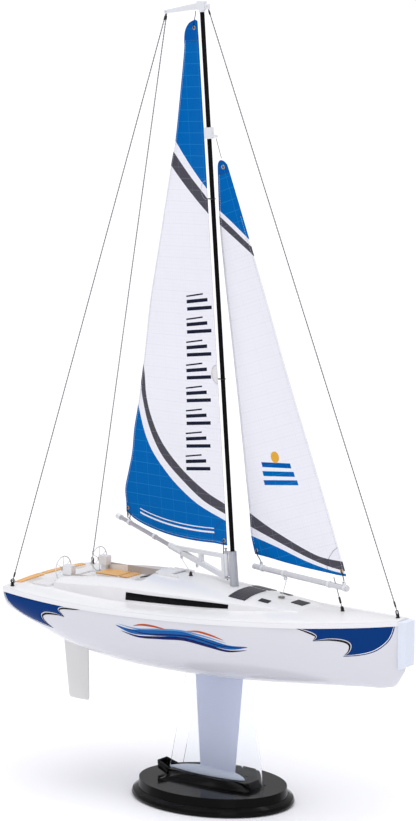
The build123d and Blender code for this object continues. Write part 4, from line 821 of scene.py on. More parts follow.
film("print_bow_panel", bow_panel, M["blue_print"], 0.07)
film("print_stern_panel", stern_panel, M["blue_print"], 0.07)
film("print_bow_crescent_a", crescent(BOW_IN[0], 1.9, 1), M["black_print"], 0.10)
film("print_bow_crescent_b", crescent(BOW_IN[1], 1.5, 1), M["black_print"], 0.10)
film("print_stern_crescent_a", crescent(STERN_IN[0], 1.5, 1), M["black_print"], 0.10)
film("print_stern_crescent_b", crescent(STERN_IN[1], 1.9, 1), M["black_print"], 0.10)
film("print_bow_edge", inner_line(list(reversed(BOW_RIGHT)), 0.9, 0.55), M["white_print"], 0.10)
film("print_stern_edge", inner_line(list(reversed(STERN_OUT)), 0.9, 0.5), M["white_print"], 0.10)

# plain wave band amidships
film("print_wave_back", wave([(-61.0, 165.2), (-44.0, 161.2), (-22.0, 162.8), (6.0, 164.2), (34.0, 160.6), (54.0, 157.6), (72.5, 159.8)], 3.2), M["mid_blue_print"], 0.07)
film("print_wave_dark", wave([(-56.0, 160.4), (-38.0, 157.0), (-14.0, 158.6), (10.0, 160.2), (34.0, 156.6), (52.0, 153.8), (71.0, 156.6)], 1.5), M["navy_print"], 0.10)
film("print_wave_sky", wave([(-58.0, 166.6), (-38.0, 164.4), (-16.0, 166.4), (8.0, 168.0), (32.0, 165.4), (52.0, 161.4)], 0.75), M["sky_print"], 0.10)
film("print_wave_navy_top", wave([(-50.0, 163.4), (-30.0, 160.8), (-6.0, 162.6), (18.0, 163.4), (44.0, 158.6), (66.0, 158.2)], 0.7), M["navy_print"], 0.115)
film("print_wave_orange_aft", wave([(-42.0, 166.8), (-32.0, 168.9), (-20.0, 168.8), (-6.0, 167.2)], 0.95), M["orange_print"], 0.10)
film("print_wave_orange_fore", wave([(14.0, 168.6), (26.0, 169.2), (38.0, 167.2), (50.0, 163.9)], 0.95), M["orange_print"], 0.10)

# ------------------------------------------------------------------ keel, bulb, rudder
FOIL = [(0.0, 0.0), (0.006, 0.16), (0.02, 0.30), (0.05, 0.47), (0.10, 0.66), (0.18, 0.86), (0.28, 0.98), (0.38, 1.0),
        (0.50, 0.93), (0.62, 0.79), (0.74, 0.60), (0.85, 0.40), (0.94, 0.23), (1.0, 0.12)]


def foil_section(x_lead, x_trail, t):
    c = x_lead - x_trail
    up = [(x_lead - c * u, t / 2 * w) for u, w in FOIL]
    return up + [(x, -y) for x, y in reversed(up[1:])]


def foil_blade(rows, top_line=None):
    verts, faces = [], []
    n = None
    for z, lead, trail, t in rows:
        sec = foil_section(lead, trail, t)
        n = len(sec)
        for x, y in sec:
            zz = min(z, top_line(x)) if top_line else z
            verts.append((x, y, zz))
    for i in range(len(rows) - 1):
        for k in range(n):
            l = (k + 1) % n
            faces.append((i * n + k, i * n + l, (i + 1) * n + l, (i + 1) * n + k))
    faces.append(tuple(reversed(range(n))))
    faces.append(tuple((len(rows) - 1) * n + k for k in range(n)))
    return verts, faces


def lin(a, b, t):
    return a + (b - a) * t


rows = []
for i in range(25):
    u = i / 24
    z = lin(24.4, 121.5, u)
    t = (z - 24.0) / 96.0
    rows.append((z, lin(25.1, 34.2, t), lin(-13.4, -19.3, t), lin(3.6, 6.4, t)))
v, f = foil_blade(rows)
fin = fix_normals(obj_from("keel_blade", v, f, "boat", M["keel"], "keel_grey", replaces=["keel_fin"]))
sharpen(fin, 60)

prof = [(-48.3, 0.0), (-48.2, 0.35), (-47.4, 1.0), (-45.0, 1.75), (-41.0, 2.7), (-35.0, 4.0), (-28.0, 5.2), (-20.0, 6.2), (-12.0, 6.8), (-4.0, 7.02),
        (4.0, 7.0), (11.0, 6.7), (18.0, 6.1), (23.0, 5.4), (28.0, 4.4), (31.6, 3.3), (34.0, 2.2), (35.4, 1.05), (35.9, 0.0)]
v, f = lathe_data([(r, x) for x, r in catmull([Vector((x, r, 0)) for x, r in prof], 3) and [(p[0], max(p[1], 0.0)) for p in catmull([Vector((x, r, 0)) for x, r in prof], 3)]], (0, 0, 21.5), (1, 0, 0), 56)
bulb = fix_normals(obj_from("bulb_body", v, f, "boat", M["bulb"], "keel_grey", replaces=["ballast_bulb"]))


def blade_top(x):
    pts = [(-175.0, 140.6), (-152.0, 130.8), (-141.0, 126.2)]
    for a, b in zip(pts, pts[1:]):
        if x <= b[0]:
            return lin(a[1], b[1], (x - a[0]) / (b[0] - a[0]))
    return pts[-1][1]


rows = []
for i in range(33):
    u = i / 32
    z = lin(69.4, 142.0, u)
    t = (z - 69.2) / 72.8
    e = 1.0
    if z < 72.5:
        e = 1 - 0.10 * ((72.5 - z) / 3.1) ** 2
    lead, trail = lin(-142.3, -142.7, t), lin(-165.9, -173.5, t)
    rows.append((z, lead - (1 - e) * 12, trail + (1 - e) * 12, lin(3.8, 5.2, t) * (0.45 + 0.55 * min(1.0, (z - 69.0) / 2.5))))
v, f = foil_blade(rows, blade_top)
rud = fix_normals(obj_from("rudder_foil", v, f, "rudder", M["rudder"], "rudder_grey", replaces=["rudder_blade"]))
sharpen(rud, 55)

# ------------------------------------------------------------------ sails
MAIN_LEECH = [(163.9, 33.0), (163.4, 41.2), (163.6, 54.4), (156.2, 71.2), (147.8, 89.9), (141.6, 113.0), (132.4, 136.3), (117.0, 182.0), (106.0, 219.7),
              (98.6, 242.1), (77.1, 296.8), (52.7, 360.6), (44.0, 380.8), (30.3, 427.7), (21.2, 461.0), (20.2, 470.0), (18.6, 477.0), (15.0, 482.0), (9.6, 485.6), (1.5, 487.6)]
MAIN_LUFF = [(1.5, 487.6), (-2.1, 486.4), (-2.4, 470.0), (-2.4, 17.6)]
MAIN_FOOT = [(-2.4, 17.6), (4.0, 17.5), (17.0, 17.7), (42.0, 16.7), (67.6, 16.6), (92.0, 17.6), (114.6, 19.8), (134.0, 22.8), (150.1, 26.6), (157.5, 29.7), (163.9, 33.0)]


def clamp(v_, a=0.0, b=1.0):
    return max(a, min(b, v_))


def edge_at(line, s):
    """Leech distance at height s."""
    for a, b in zip(line, line[1:]):
        if min(a[1], b[1]) <= s <= max(a[1], b[1]) and a[1] != b[1]:
            return lin(a[0], b[0], (s - a[1]) / (b[1] - a[1]))
    return line[-1][0] if s > line[-1][1] else line[0][0]


def main_camber(r, s):
    lee = max(edge_at(MAIN_LEECH, clamp(s, 54.4, 487.0)), 6.0)
    t = clamp((r + 2.4) / (lee + 2.4))
    h = clamp((s - 17.0) / 470.0)
    depth = 6.4 * math.sin(math.pi * clamp(h * 0.94 + 0.05)) ** 0.75
    shape = 3.1 * t * (1 - t) ** 1.25 * 1.25
    curl = -1.6 * clamp((t - 0.86) / 0.14) ** 2 * math.sin(math.pi * clamp(h * 1.05)) if t > 0.86 else 0.0
    ripple = 0.28 * math.sin(s * 0.055 + r * 0.021) * math.sin(math.pi * t) + 0.22 * math.sin(s * 0.13 - r * 0.06) * t * (1 - t) * 4 * (1 - h)
    clew = 0.5 * math.sin((r - s) * 0.16) * clamp(1 - math.hypot(r - 160, s - 40) / 55)
    return depth * shape + curl + ripple + clew


JIB_LEECH = [(90.7, 69.5), (90.3, 78.0), (89.0, 88.5), (83.8, 106.3), (76.8, 135.7), (68.8, 168.7), (60.2, 205.1), (47.6, 259.9), (37.6, 305.0),
             (27.6, 346.7), (20.4, 371.8), (9.6, 403.0), (7.2, 409.6), (5.0, 412.8), (2.0, 414.0), (-1.2, 412.8)]
JIB_LUFF = [(-1.2, 412.8), (-4.2, 409.0), (-5.2, 402.1), (-7.4, 339.0), (-9.0, 281.0), (-9.8, 222.8), (-11.4, 178.9), (-14.0, 118.4), (-15.2, 66.3), (-15.6, 36.0), (-15.0, 31.4)]
JIB_FOOT = [(-15.0, 31.4), (-6.0, 34.0), (5.1, 37.8), (18.0, 42.2), (31.9, 47.0), (45.0, 51.8), (58.7, 57.0), (74.2, 63.3), (83.0, 66.6), (90.7, 69.5)]


def jib_camber(r, s):
    lee = max(edge_at(JIB_LEECH, clamp(s, 70.0, 412.0)), 4.0)
    luff = -edge_at([(-p[0], p[1]) for p in reversed(JIB_LUFF)], clamp(s, 32.0, 411.0))
    t = clamp((r - luff) / max(lee - luff, 4.0))
    foot = 34.0 + (r + 15.0) * 0.34
    h = clamp((s - foot) / max(412.0 - foot, 1.0))
    depth = 4.6 * math.sin(math.pi * clamp(h * 0.92 + 0.04)) ** 0.75
    ripple = 0.25 * math.sin(s * 0.06 + r * 0.03) * math.sin(math.pi * t) + 0.2 * math.sin(s * 0.15 - r * 0.08) * t * (1 - t) * 4 * (1 - h)
    return depth * 3.7 * t * (1 - t) ** 1.2 + ripple


EYE = Vector((1704.79, -2353.69, 845.61))   # the sails' drawn lines were taken from this point, in millimetres


def cloth_pt(plane, r, s, off, extra=0.0):
    """Point of the cambered cloth that is drawn at r and s: the camber is taken along the line of sight to it."""
    p = plane.at(r, s)
    d = (p - EYE).normalized()
    return p + d * (off / d.dot(plane.n)) + plane.n * extra


def sail(name, plane, outline, regions, mats, camber, body, node, slot_name, hem=2.4):
    """Cloth cut from coloured panels: regions are (material index, closed outline), the first that holds a point wins."""
    outline = tidy(dense(outline, 3.2), 0.3)
    loops = []
    inset = tidy(grow(outline, -hem), 0.4)
    inset = [p for p in inset if inside(p, outline)]
    loops.append(dense(inset, 3.2))
    for _, poly in regions:
        loops.append([p for p in tidy(dense(poly, 3.0), 0.2)])
    # keep only the parts of the region edges that lie on the cloth: the triangulation trims the rest
    p2, tris = panelled(outline, loops, 5.2)
    fm = []
    for t in tris:
        c = (sum(p2[i][0] for i in t) / 3, sum(p2[i][1] for i in t) / 3)
        k = 0
        for idx, poly in regions:
            if inside(c, poly):
                k = idx
                break
        fm.append(k)
    verts = [cloth_pt(plane, r, s, camber(r, s)) for r, s in p2]
    o = obj_from(name, verts, tris, None, mats, slot_name, face_mats=fm, uvs=[(r * MM, s * MM) for r, s in p2], replaces=[node])
    g = o.vertex_groups.new(name="hem")
    inner = [not inside(p, inset) for p in p2]
    g.add([i for i, k in enumerate(inner) if k], 1.0, "REPLACE")
    g.add([i for i, k in enumerate(inner) if not k], 0.35, "REPLACE")
    m = o.modifiers.new("cloth", "SOLIDIFY")
    m.thickness = 0.55 * MM
    m.offset = 0.0
    m.vertex_group = "hem"
    m.thickness_vertex_group = 0.3
    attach(o, body)
    return o, p2, tris


main_out = smooth2(MAIN_LEECH, 4)[:-1] + MAIN_LUFF[:-1] + smooth2(MAIN_FOOT, 4)[:-1]
UP_BLUE = [(60, 500), (-20, 500), (-20, 323.0), (-7.4, 334.8), (6.0, 345.0), (20.0, 357.0), (33.0, 369.4), (44.0, 380.8), (56.0, 396.0)]
UP_GREY = smooth2([(60.0, 383.0), (50.5, 373.5), (36.0, 360.2), (20.0, 346.8), (4.0, 334.8), (-3.9, 328.8), (-12.0, 323.0)], 3) + \
    smooth2([(-12.0, 310.0), (-3.4, 315.7), (10.0, 324.6), (26.0, 336.2), (42.0, 348.8), (55.2, 360.3), (64.0, 368.5)], 3)
LOW_GREY = smooth2([(121.0, 184.0), (118.1, 166.4), (117.6, 146.6), (112.3, 128.6), (100.2, 108.8), (82.8, 93.0), (56.6, 77.0), (26.0, 63.6), (-1.6, 55.7), (-9.0, 53.6)], 4) + \
    smooth2([(-9.0, 44.6), (-0.7, 46.7), (31.5, 55.0), (62.0, 69.4), (91.0, 86.6), (107.0, 102.4), (118.0, 121.5), (123.9, 141.6), (125.2, 151.7), (125.0, 170.0)], 4)
LOW_BLUE = smooth2([(137.0, 150.0), (131.8, 134.4), (129.4, 126.2), (123.8, 110.7), (113.6, 95.0), (96.2, 80.0), (74.0, 65.6), (40.9, 50.8), (-1.2, 40.4), (-9.0, 38.6)], 4) + \
    [(-9.0, 5.0), (180.0, 5.0), (180.0, 150.0)]

# plain slanted bars in the place of lettering, outlined in navy
motif = []
for i in range(8):
    s0 = 84.0 + i * 21.0
    x0, x1 = lin(17.5, 0.5, i / 7), lin(57.0, 40.5, i / 7)
    for h, w_, cut in ((0.0, 3.2, 0.0), (6.6, 3.2, 6.0), (12.4, 1.4, 13.0)):
        motif.append([(x0 + cut, s0 + h), (x1, s0 + h - 3.4), (x1, s0 + h - 3.4 + w_), (x0 + cut, s0 + h + w_)])
regions = [(1, UP_BLUE), (3, UP_GREY), (3, LOW_GREY)]
# white pin lines along the foot
for k, (h0, h1) in enumerate(((9.0, 10.6), (13.0, 13.9))):
    low = [(r, s + h0) for r, s in smooth2(MAIN_FOOT, 3) if 14 < r < 142]
    top = [(r, s + h1) for r, s in smooth2(MAIN_FOOT, 3) if 14 < r < 142]
    regions.append((0, low + list(reversed(top))))
regions.append((1, LOW_BLUE))
for bar in motif:
    regions.append((4, bar))
regions.insert(0, (2, [(-10, 468.6), (30, 468.0), (30, 500), (-10, 500)]))
main_sail, mp2, mtris = sail("mainsail_cloth", MAIN, main_out, regions, [M["cloth_white"], M["cloth_blue"], M["cloth_head"], M["cloth_grey"], M["cloth_navy"]],
                             main_camber, "main_boom", "mainsail", "sailcloth")

jib_out = smooth2(JIB_LEECH, 4)[:-1] + smooth2(JIB_LUFF, 3)[:-1] + smooth2(JIB_FOOT, 4)[:-1]
J_UP = smooth2([(34.0, 390.0), (20.4, 373.3), (8.0, 358.6), (-3.0, 344.8), (-7.9, 338.5), (-16.0, 328.0)], 3) + [(-20, 328), (-20, 430), (40, 430)]
J_GREY = smooth2([(34.0, 382.0), (22.3, 368.6), (10.0, 354.0), (-1.0, 340.6), (-8.0, 332.4), (-16.0, 323.0)], 3) + \
    smooth2([(-16.0, 314.0), (-8.0, 323.7), (4.0, 337.6), (14.0, 349.0), (24.6, 361.2), (36.0, 374.0)], 3)
J_LOW_GREY = smooth2([(90.0, 113.0), (83.2, 106.2), (65.7, 91.1), (45.8, 76.2), (25.6, 62.3), (8.0, 52.4), (-15.7, 44.6), (-22, 42.5)], 4) + \
    smooth2([(-22.0, 33.0), (-15.7, 36.0), (3.4, 43.6), (27.9, 56.5), (58.7, 75.8), (86.8, 93.9), (96.0, 100.0)], 4)
J_LOW_BLUE = smooth2([(99.0, 92.0), (89.4, 86.3), (60.3, 70.6), (29.2, 52.6), (4.0, 40.6), (-15.0, 33.6), (-22, 31)], 4) + [(-22, 15), (105, 15), (105, 92)]
j_reg = [(2, [(-20, 401.5), (30, 401.5), (30, 430), (-20, 430)]), (1, J_UP), (3, J_GREY), (3, J_LOW_GREY), (1, J_LOW_BLUE)]
# a plain mark of three slanted bars and a disc
j_reg.append((5, [(33.0 + 5.2 * math.cos(2 * math.pi * k / 28), 148.5 + 5.2 * math.sin(2 * math.pi * k / 28)) for k in range(28)]))
for k in range(3):
    j_reg.append(((1, 1, 2)[k], [(13.0 + 1.6 * k, 119.0 + 8.0 * k), (55.0 - 1.6 * k, 127.0 + 8.0 * k), (55.0 - 1.6 * k, 131.6 + 8.0 * k), (13.0 + 1.6 * k, 123.6 + 8.0 * k)]))
jib_sail, jp2, jtris = sail("jib_cloth", JIB, jib_out, j_reg, [M["cloth_white"], M["cloth_blue"], M["cloth_head"], M["cloth_grey"], M["cloth_navy"], M["cloth_orange"]],
                            jib_camber, "jib_boom", "jib_sail", "sailcloth")


def stitches(name, plane, camber, line, body, mat, pitch=2.2, length=1.4, r=0.17, lift=0.30):
    """Running stitch on both faces of the cloth along a line in r and s."""
    pts = dense(line, 0.4, closed=False)
    acc, L = [0.0], 0.0
    for a, b in zip(pts, pts[1:]):
        L += math.hypot(b[0] - a[0], b[1] - a[1])
        acc.append(L)

    def at(d):
        for i in range(len(acc) - 1):
            if acc[i + 1] >= d:
                t = (d - acc[i]) / max(acc[i + 1] - acc[i], 1e-9)
                return (lin(pts[i][0], pts[i + 1][0], t), lin(pts[i][1], pts[i + 1][1], t))
        return pts[-1]

    parts = []
    d = 0.6
    while d + length < L:
        a, b = at(d), at(d + length)
        for side in (-1, 1):
            mid = ((a[0] + b[0]) / 2, (a[1] + b[1]) / 2)
            parts.append(tube_data([cloth_pt(plane, *a, camber(*a), side * (lift - 0.08)), cloth_pt(plane, *mid, camber(*mid), side * lift),
                                    cloth_pt(plane, *b, camber(*b), side * (lift - 0.08))], r, 5))
        d += pitch
    v_, f_ = join(parts)
    return obj_from(name, v_, f_, body, mat, "sailcloth")


def arc2(cx, cy, r, a0, a1, n=24):
    return [(cx + r * math.cos(math.radians(lin(a0, a1, k / n))), cy + r * math.sin(math.radians(lin(a0, a1, k / n)))) for k in range(n + 1)]


stitches("stitch_main_leech", MAIN, main_camber, [p for p in grow(smooth2(MAIN_LEECH, 3), 0)][2:-6] and [(r - 2.0, s) for r, s in smooth2(MAIN_LEECH, 3)[3:-12]], "main_boom", M["thread_pale"])
stitches("stitch_main_head", MAIN, main_camber, [(-1.6, 469.0), (19.6, 468.2)], "main_boom", M["thread"], pitch=1.7)
stitches("stitch_main_tack", MAIN, main_camber, [(15.7, 18.6), (16.6, 26.0), (13.6, 33.0), (7.0, 38.2), (-1.6, 40.2)], "main_boom", M["thread"], pitch=1.7)
stitches("stitch_main_clew", MAIN, main_camber, [(156.0, 30.4), (157.6, 38.6), (160.0, 45.0), (163.0, 49.4)], "main_boom", M["thread"], pitch=1.7)
stitches("stitch_main_foot", MAIN, main_camber, [(r, s + 2.0) for r, s in smooth2(MAIN_FOOT, 3)[2:-4]], "main_boom", M["thread_pale"])
stitches("stitch_jib_head", JIB, jib_camber, [(-4.6, 401.6), (9.0, 402.0)], "jib_boom", M["thread"], pitch=1.7)
stitches("stitch_jib_leech", JIB, jib_camber, [(r - 2.0, s) for r, s in smooth2(JIB_LEECH, 3)[3:-12]], "jib_boom", M["thread_pale"])
stitches("stitch_jib_luff", JIB, jib_camber, [(r + 2.0, s) for r, s in smooth2(JIB_LUFF, 3)[8:-2]], "jib_boom", M["thread_pale"])
stitches("stitch_jib_tack", JIB, jib_camber, [(5.6, 38.8), (4.4, 44.6), (-1.0, 51.0), (-8.0, 55.6), (-14.6, 57.6)], "jib_boom", M["thread"], pitch=1.7)
stitches("stitch_jib_clew", JIB, jib_camber, [(74.5, 64.2), (75.4, 71.0), (79.0, 79.5)], "jib_boom", M["thread"], pitch=1.7)


def eyelet(name, plane, camber, r, s, body, size=1.7):
    c = cloth_pt(plane, r, s, camber(r, s))
    parts = [torus_data(c + plane.n * 0.28, plane.n, size, 0.42, 28, 8), torus_data(c - plane.n * 0.28, plane.n, size, 0.42, 28, 8),
             torus_data(c, plane.n, size - 0.35, 0.30, 28, 8)]
    v_, f_ = join(parts)
    return obj_from(name, v_, f_, body, M["brass"], "steel")


def hook(name, pts, body, mat="dark_steel", r=0.42, slot_name="steel"):
    v_, f_ = tube_data(catmull(pts, 6), r, 8)
    return obj_from(name, v_, f_, body, M[mat], slot_name)


eyelet("eyelet_main_head", MAIN, main_camber, 3.2, 480.6, "main_boom")
eyelet("eyelet_main_tack", MAIN, main_camber, 1.4, 21.6, "main_boom")
eyelet("eyelet_main_clew", MAIN, main_camber, 160.6, 36.0, "main_boom", 1.5)
eyelet("eyelet_jib_head", JIB, jib_camber, 0.6, 407.4, "jib_boom")
eyelet("eyelet_jib_tack", JIB, jib_camber, -12.2, 36.6, "jib_boom")
eyelet("eyelet_jib_clew", JIB, jib_camber, 87.6, 72.2, "jib_boom", 1.5)

# clear half-round patches at the luff, each with a ring round the mast; only the stitching of the upper one shows
for k, (s_mid, rad) in enumerate(((337.0, 8.5), (172.5, 8.5))):
    rim = [(-2.0 + rad * math.sin(math.radians(a)), s_mid + rad * math.cos(math.radians(a))) for a in range(0, 181, 10)]
    fan, tri = [], []
    cols = 5
    for a in range(19):
        for c in range(cols + 1):
            q = c / cols
            r_, s_ = lin(-2.0, rim[a][0], q), lin(s_mid, rim[a][1], q)
            fan.append((r_, s_))
    for a in range(18):
        for c in range(cols):
            i0 = a * (cols + 1) + c
            tri.append((i0, i0 + 1, i0 + cols + 2, i0 + cols + 1))
    for side in ((-1, 1) if k else ()):
        vv = [cloth_pt(MAIN, r_, s_, main_camber(r_, s_), side * 0.36) for r_, s_ in fan]
        o = obj_from("luff_patch_%d_%s" % (k, "a" if side < 0 else "b"), vv, tri, "main_boom", M["patch"], "sailcloth")
        fix_normals(o)
        md = o.modifiers.new("film", "SOLIDIFY")
        md.thickness = 0.14 * MM
        md.offset = 0.0
    stitches("stitch_luff_patch_%d" % k, MAIN, main_camber, rim, "main_boom", M["thread_pale"], pitch=2.0, lift=0.42)

# hooks that hold the corners
c0 = cloth_pt(MAIN, 1.4, 21.6, main_camber(1.4, 21.6))
hook("hook_main_tack", [c0 + MAIN.n * 1.2 + MAIN.up * 0.6, c0 + MAIN.n * 0.2 + MAIN.up * 1.6, c0 - MAIN.n * 1.4 + MAIN.up * 0.2, c0 - MAIN.n * 1.2 - MAIN.up * 2.6 + MAIN.d * 0.4,
                        c0 - MAIN.n * 0.3 - MAIN.up * 6.0 + MAIN.d * 1.8, c0 - MAIN.up * 9.6 + MAIN.d * 2.6, c0 - MAIN.up * 12.6 + MAIN.d * 2.6], "main_boom")
c1 = cloth_pt(MAIN, 160.6, 36.0, main_camber(160.6, 36.0))
hook("hook_main_clew", [c1 + MAIN.n * 1.0, c1 + MAIN.up * 1.4, c1 - MAIN.n * 1.3 + MAIN.up * 0.2, c1 - MAIN.n * 1.0 - MAIN.up * 3.6 + MAIN.d * 1.2, c1 - MAIN.up * 7.2 + MAIN.d * 0.4,
                        c1 - MAIN.up * 9.8 - MAIN.d * 1.2, c1 - MAIN.up * 10.9 - MAIN.d * 2.4], "main_boom", r=0.38)
v, f = torus_data(MAIN.at(160.6, 28.6, 0), MAIN.n, 2.6, 0.36, 30, 8)
obj_from("clew_ring_main", v, f, "main_boom", M["dark_steel"], "steel")
c2 = cloth_pt(JIB, -12.2, 36.6, jib_camber(-12.2, 36.6))
hook("hook_jib_tack", [c2 + JIB.n * 1.1, c2 + JIB.up * 1.5, c2 - JIB.n * 1.3, c2 - JIB.n * 0.9 - JIB.up * 3.4, c2 - JIB.up * 7.4 + JIB.d * 0.8, c2 - JIB.up * 10.6 + JIB.d * 1.6], "jib_boom")
c3 = cloth_pt(JIB, 87.6, 72.2, jib_camber(87.6, 72.2))
hook("hook_jib_clew", [c3 + JIB.n * 1.0, c3 + JIB.up * 1.3, c3 - JIB.n * 1.2, c3 - JIB.n * 0.8 - JIB.up * 4.0, c3 - JIB.up * 8.6 - JIB.d * 0.9, c3 - JIB.up * 12.4 - JIB.d * 1.5], "jib_boom")
h0 = cloth_pt(MAIN, 3.2, 480.6, main_camber(3.2, 480.6))
hook("hook_main_head", [h0 + MAIN.n * 1.0, h0 - MAIN.up * 1.2, h0 - MAIN.n * 1.2, h0 - MAIN.n * 0.8 + MAIN.up * 4.0 - MAIN.d * 0.4, h0 + MAIN.up * 8.0 - MAIN.d * 1.4, h0 + MAIN.up * 11.6 - MAIN.d * 2.9,
                        h0 + MAIN.up * 14.6 - MAIN.d * 3.2], "main_boom", r=0.34)

# ------------------------------------------------------------------ wire rigging
def twisted(a, b, lay_r, strand_r, pitch, segs=6, step=1.1):
    """Two strands laid round each other from a to b."""
    a, b = Vector(a), Vector(b)
    ax = (b - a).normalized()
    ref = Vector((0, 1, 0)) if abs(ax.y) < 0.9 else Vector((1, 0, 0))
    u = ax.cross(ref).normalized()
    w = ax.cross(u)
    L = (b - a).length
    n = max(int(L / step), 4)
    parts = []
    for ph in (0.0, math.pi):
        pts = []
        for i in range(n + 1):
            d = L * i / n
            an = 2 * math.pi * d / pitch + ph
            pts.append(a + ax * d + u * (lay_r * math.cos(an)) + w * (lay_r * math.sin(an)))
        parts.append(tube_data(pts, strand_r, segs))
    return join(parts)


def end_wrap(p, ax, length, r, mat_parts):
    """Close turns of wire round a stay's end."""
    ax = Vector(ax).normalized()
    ref = Vector((0, 1, 0)) if abs(ax.y) < 0.9 else Vector((1, 0, 0))
    u = ax.cross(ref).normalized()
    w = ax.cross(u)
    turns = length / 0.62
    n = int(turns * 12)
    pts = [Vector(p) + ax * (length * i / n) + u * (r * math.cos(2 * math.pi * turns * i / n)) + w * (r * math.sin(2 * math.pi * turns * i / n))
           for i in range(n + 1)]
    mat_parts.append(tube_data(pts, 0.30, 6))


stay_parts, wraps = [], []
STAYS = [((-5.4, 0, 716.4), (197.2, 0, 201.8)), ((-50.8, 0.5, 710.6), (-184.2, 59.4, 189.6)), ((-50.8, -0.5, 710.6), (-184.2, -59.4, 189.6))]
for a, b in STAYS:
    stay_parts.append(twisted(a, b, 0.30, 0.33, 5.6))
    d = (Vector(b) - Vector(a)).normalized()
    end_wrap(Vector(a) + d * 3.0, d, 3.6, 0.62, wraps)
    end_wrap(Vector(b) - d * 7.5, d, 4.6, 0.62, wraps)
v, f = join(stay_parts)
obj_from("stay_wires", v, f, "boat", M["steel"], "steel", replaces=["standing_rigging"])
v, f = join(wraps)
obj_from("stay_end_wraps", v, f, "boat", M["dark_steel"], "steel")
for side in (-1, 1):
    p = Vector((-184.2, 59.4 * side, 189.6))
    d = (Vector((-50.8, 0.5 * side, 710.6)) - p).normalized()
    v, f = tube_data(ring_pts(p - d * 1.2, d.cross(Vector((0, 0, 1))).normalized(), 2.0, 28), 0.36, 8, closed=True)
    obj_from("backstay_loop_" + ("port" if side > 0 else "starboard"), v, f, "boat", M["dark_steel"], "steel")

# ------------------------------------------------------------------ helm wheels
for side, node in ((-1, "wheel_starboard"), (1, "wheel_port")):
    c = Vector((-150.6, 27.0 * side, 198.9))
    parts = [torus_data(c, (1, 0, 0), 11.5, 0.42, 72, 12), torus_data(c, (1, 0, 0), 11.0, 0.2, 72, 8)]
    for k in range(6):
        an = math.radians(60 * k + 30)
        e = Vector((0, math.cos(an), math.sin(an)))
        parts.append(tube_data([c + e * 1.4, c + e * 4.0, c + e * 8.0, c + e * 11.2], 0.34, 8, taper=[1.35, 1.0, 0.9, 1.2]))
    v, f = join(parts)
    body = "helm_starboard" if side < 0 else "helm_port"
    obj_from("helm_wheel_" + ("starboard" if side < 0 else "port"), v, f, body, M["wheel"], "wheel_rim", replaces=[node])
    v, f = lathe_data([(0.0, -1.1), (0.9, -1.1), (1.6, -0.9), (1.9, -0.5), (1.9, 0.5), (1.6, 0.9), (0.9, 1.1), (0.0, 1.1)], c, (1, 0, 0), 24)
    o = fix_normals(obj_from("helm_hub_" + ("starboard" if side < 0 else "port"), v, f, body, M["steel"], "wheel_rim"))
    sharpen(o, 40)

# ------------------------------------------------------------------ sheets that lead from the deck to the booms
for name, a, b, ba, bb, node, sag in (("main_sheet_line", (-24.6, 0.0, 206.2), (-53.49, 25.24, 211.48), "boat", "main_boom", "main_sheet", 0.1),
                                      ("jib_sheet_line", (75.6, 0.0, 196.6), (73.05, 11.03, 209.34), "boat", "jib_boom", "jib_sheet", 0.5)):
    A, B = Vector(a), Vector(b)
    pts = []
    for i in range(25):
        t = i / 24
        p = A.lerp(B, t)
        p.z -= sag * 4 * t * (1 - t)
        pts.append(p)
    o = obj_from(name, *tube_data(pts, 0.36, 10), None, M["line"], "cord_grey", replaces=[node])
    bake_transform(o)

# ------------------------------------------------------------------ painted shade: a taupe sheet over the white inner faces of the coaming
for side in (-1, 1):
    x0, x1, z0, z1 = -145.0, -64.0, 188.6, 196.4
    verts, faces = [], []
    n = 24
    for i in range(n + 1):
        t = i / n
        x = lin(x0, x1, t)
        r = 1.6 * (1 - min(1, min(t, 1 - t) * 14))
        for y in (29.9, 30.25):
            verts += [(x, side * y, z0 + r), (x, side * y, z1 - r)]
    for i in range(n):
        a = i * 4
        b = a + 4
        faces += [(a, b, b + 1, a + 1), (a + 2, a + 3, b + 3, b + 2), (a + 1, b + 1, b + 3, a + 3), (a, a + 2, b + 2, b)]
    faces += [(0, 1, 3, 2), (n * 4, n * 4 + 2, n * 4 + 3, n * 4 + 1)]
    # the taupe sheet is painted shade laid over the white wall, not a real lining
    fix_normals(obj_from("coaming_painted_shade_" + ("port" if side > 0 else "starboard"), verts, faces, "boat", M["taupe"], "inner_white", smooth=False))

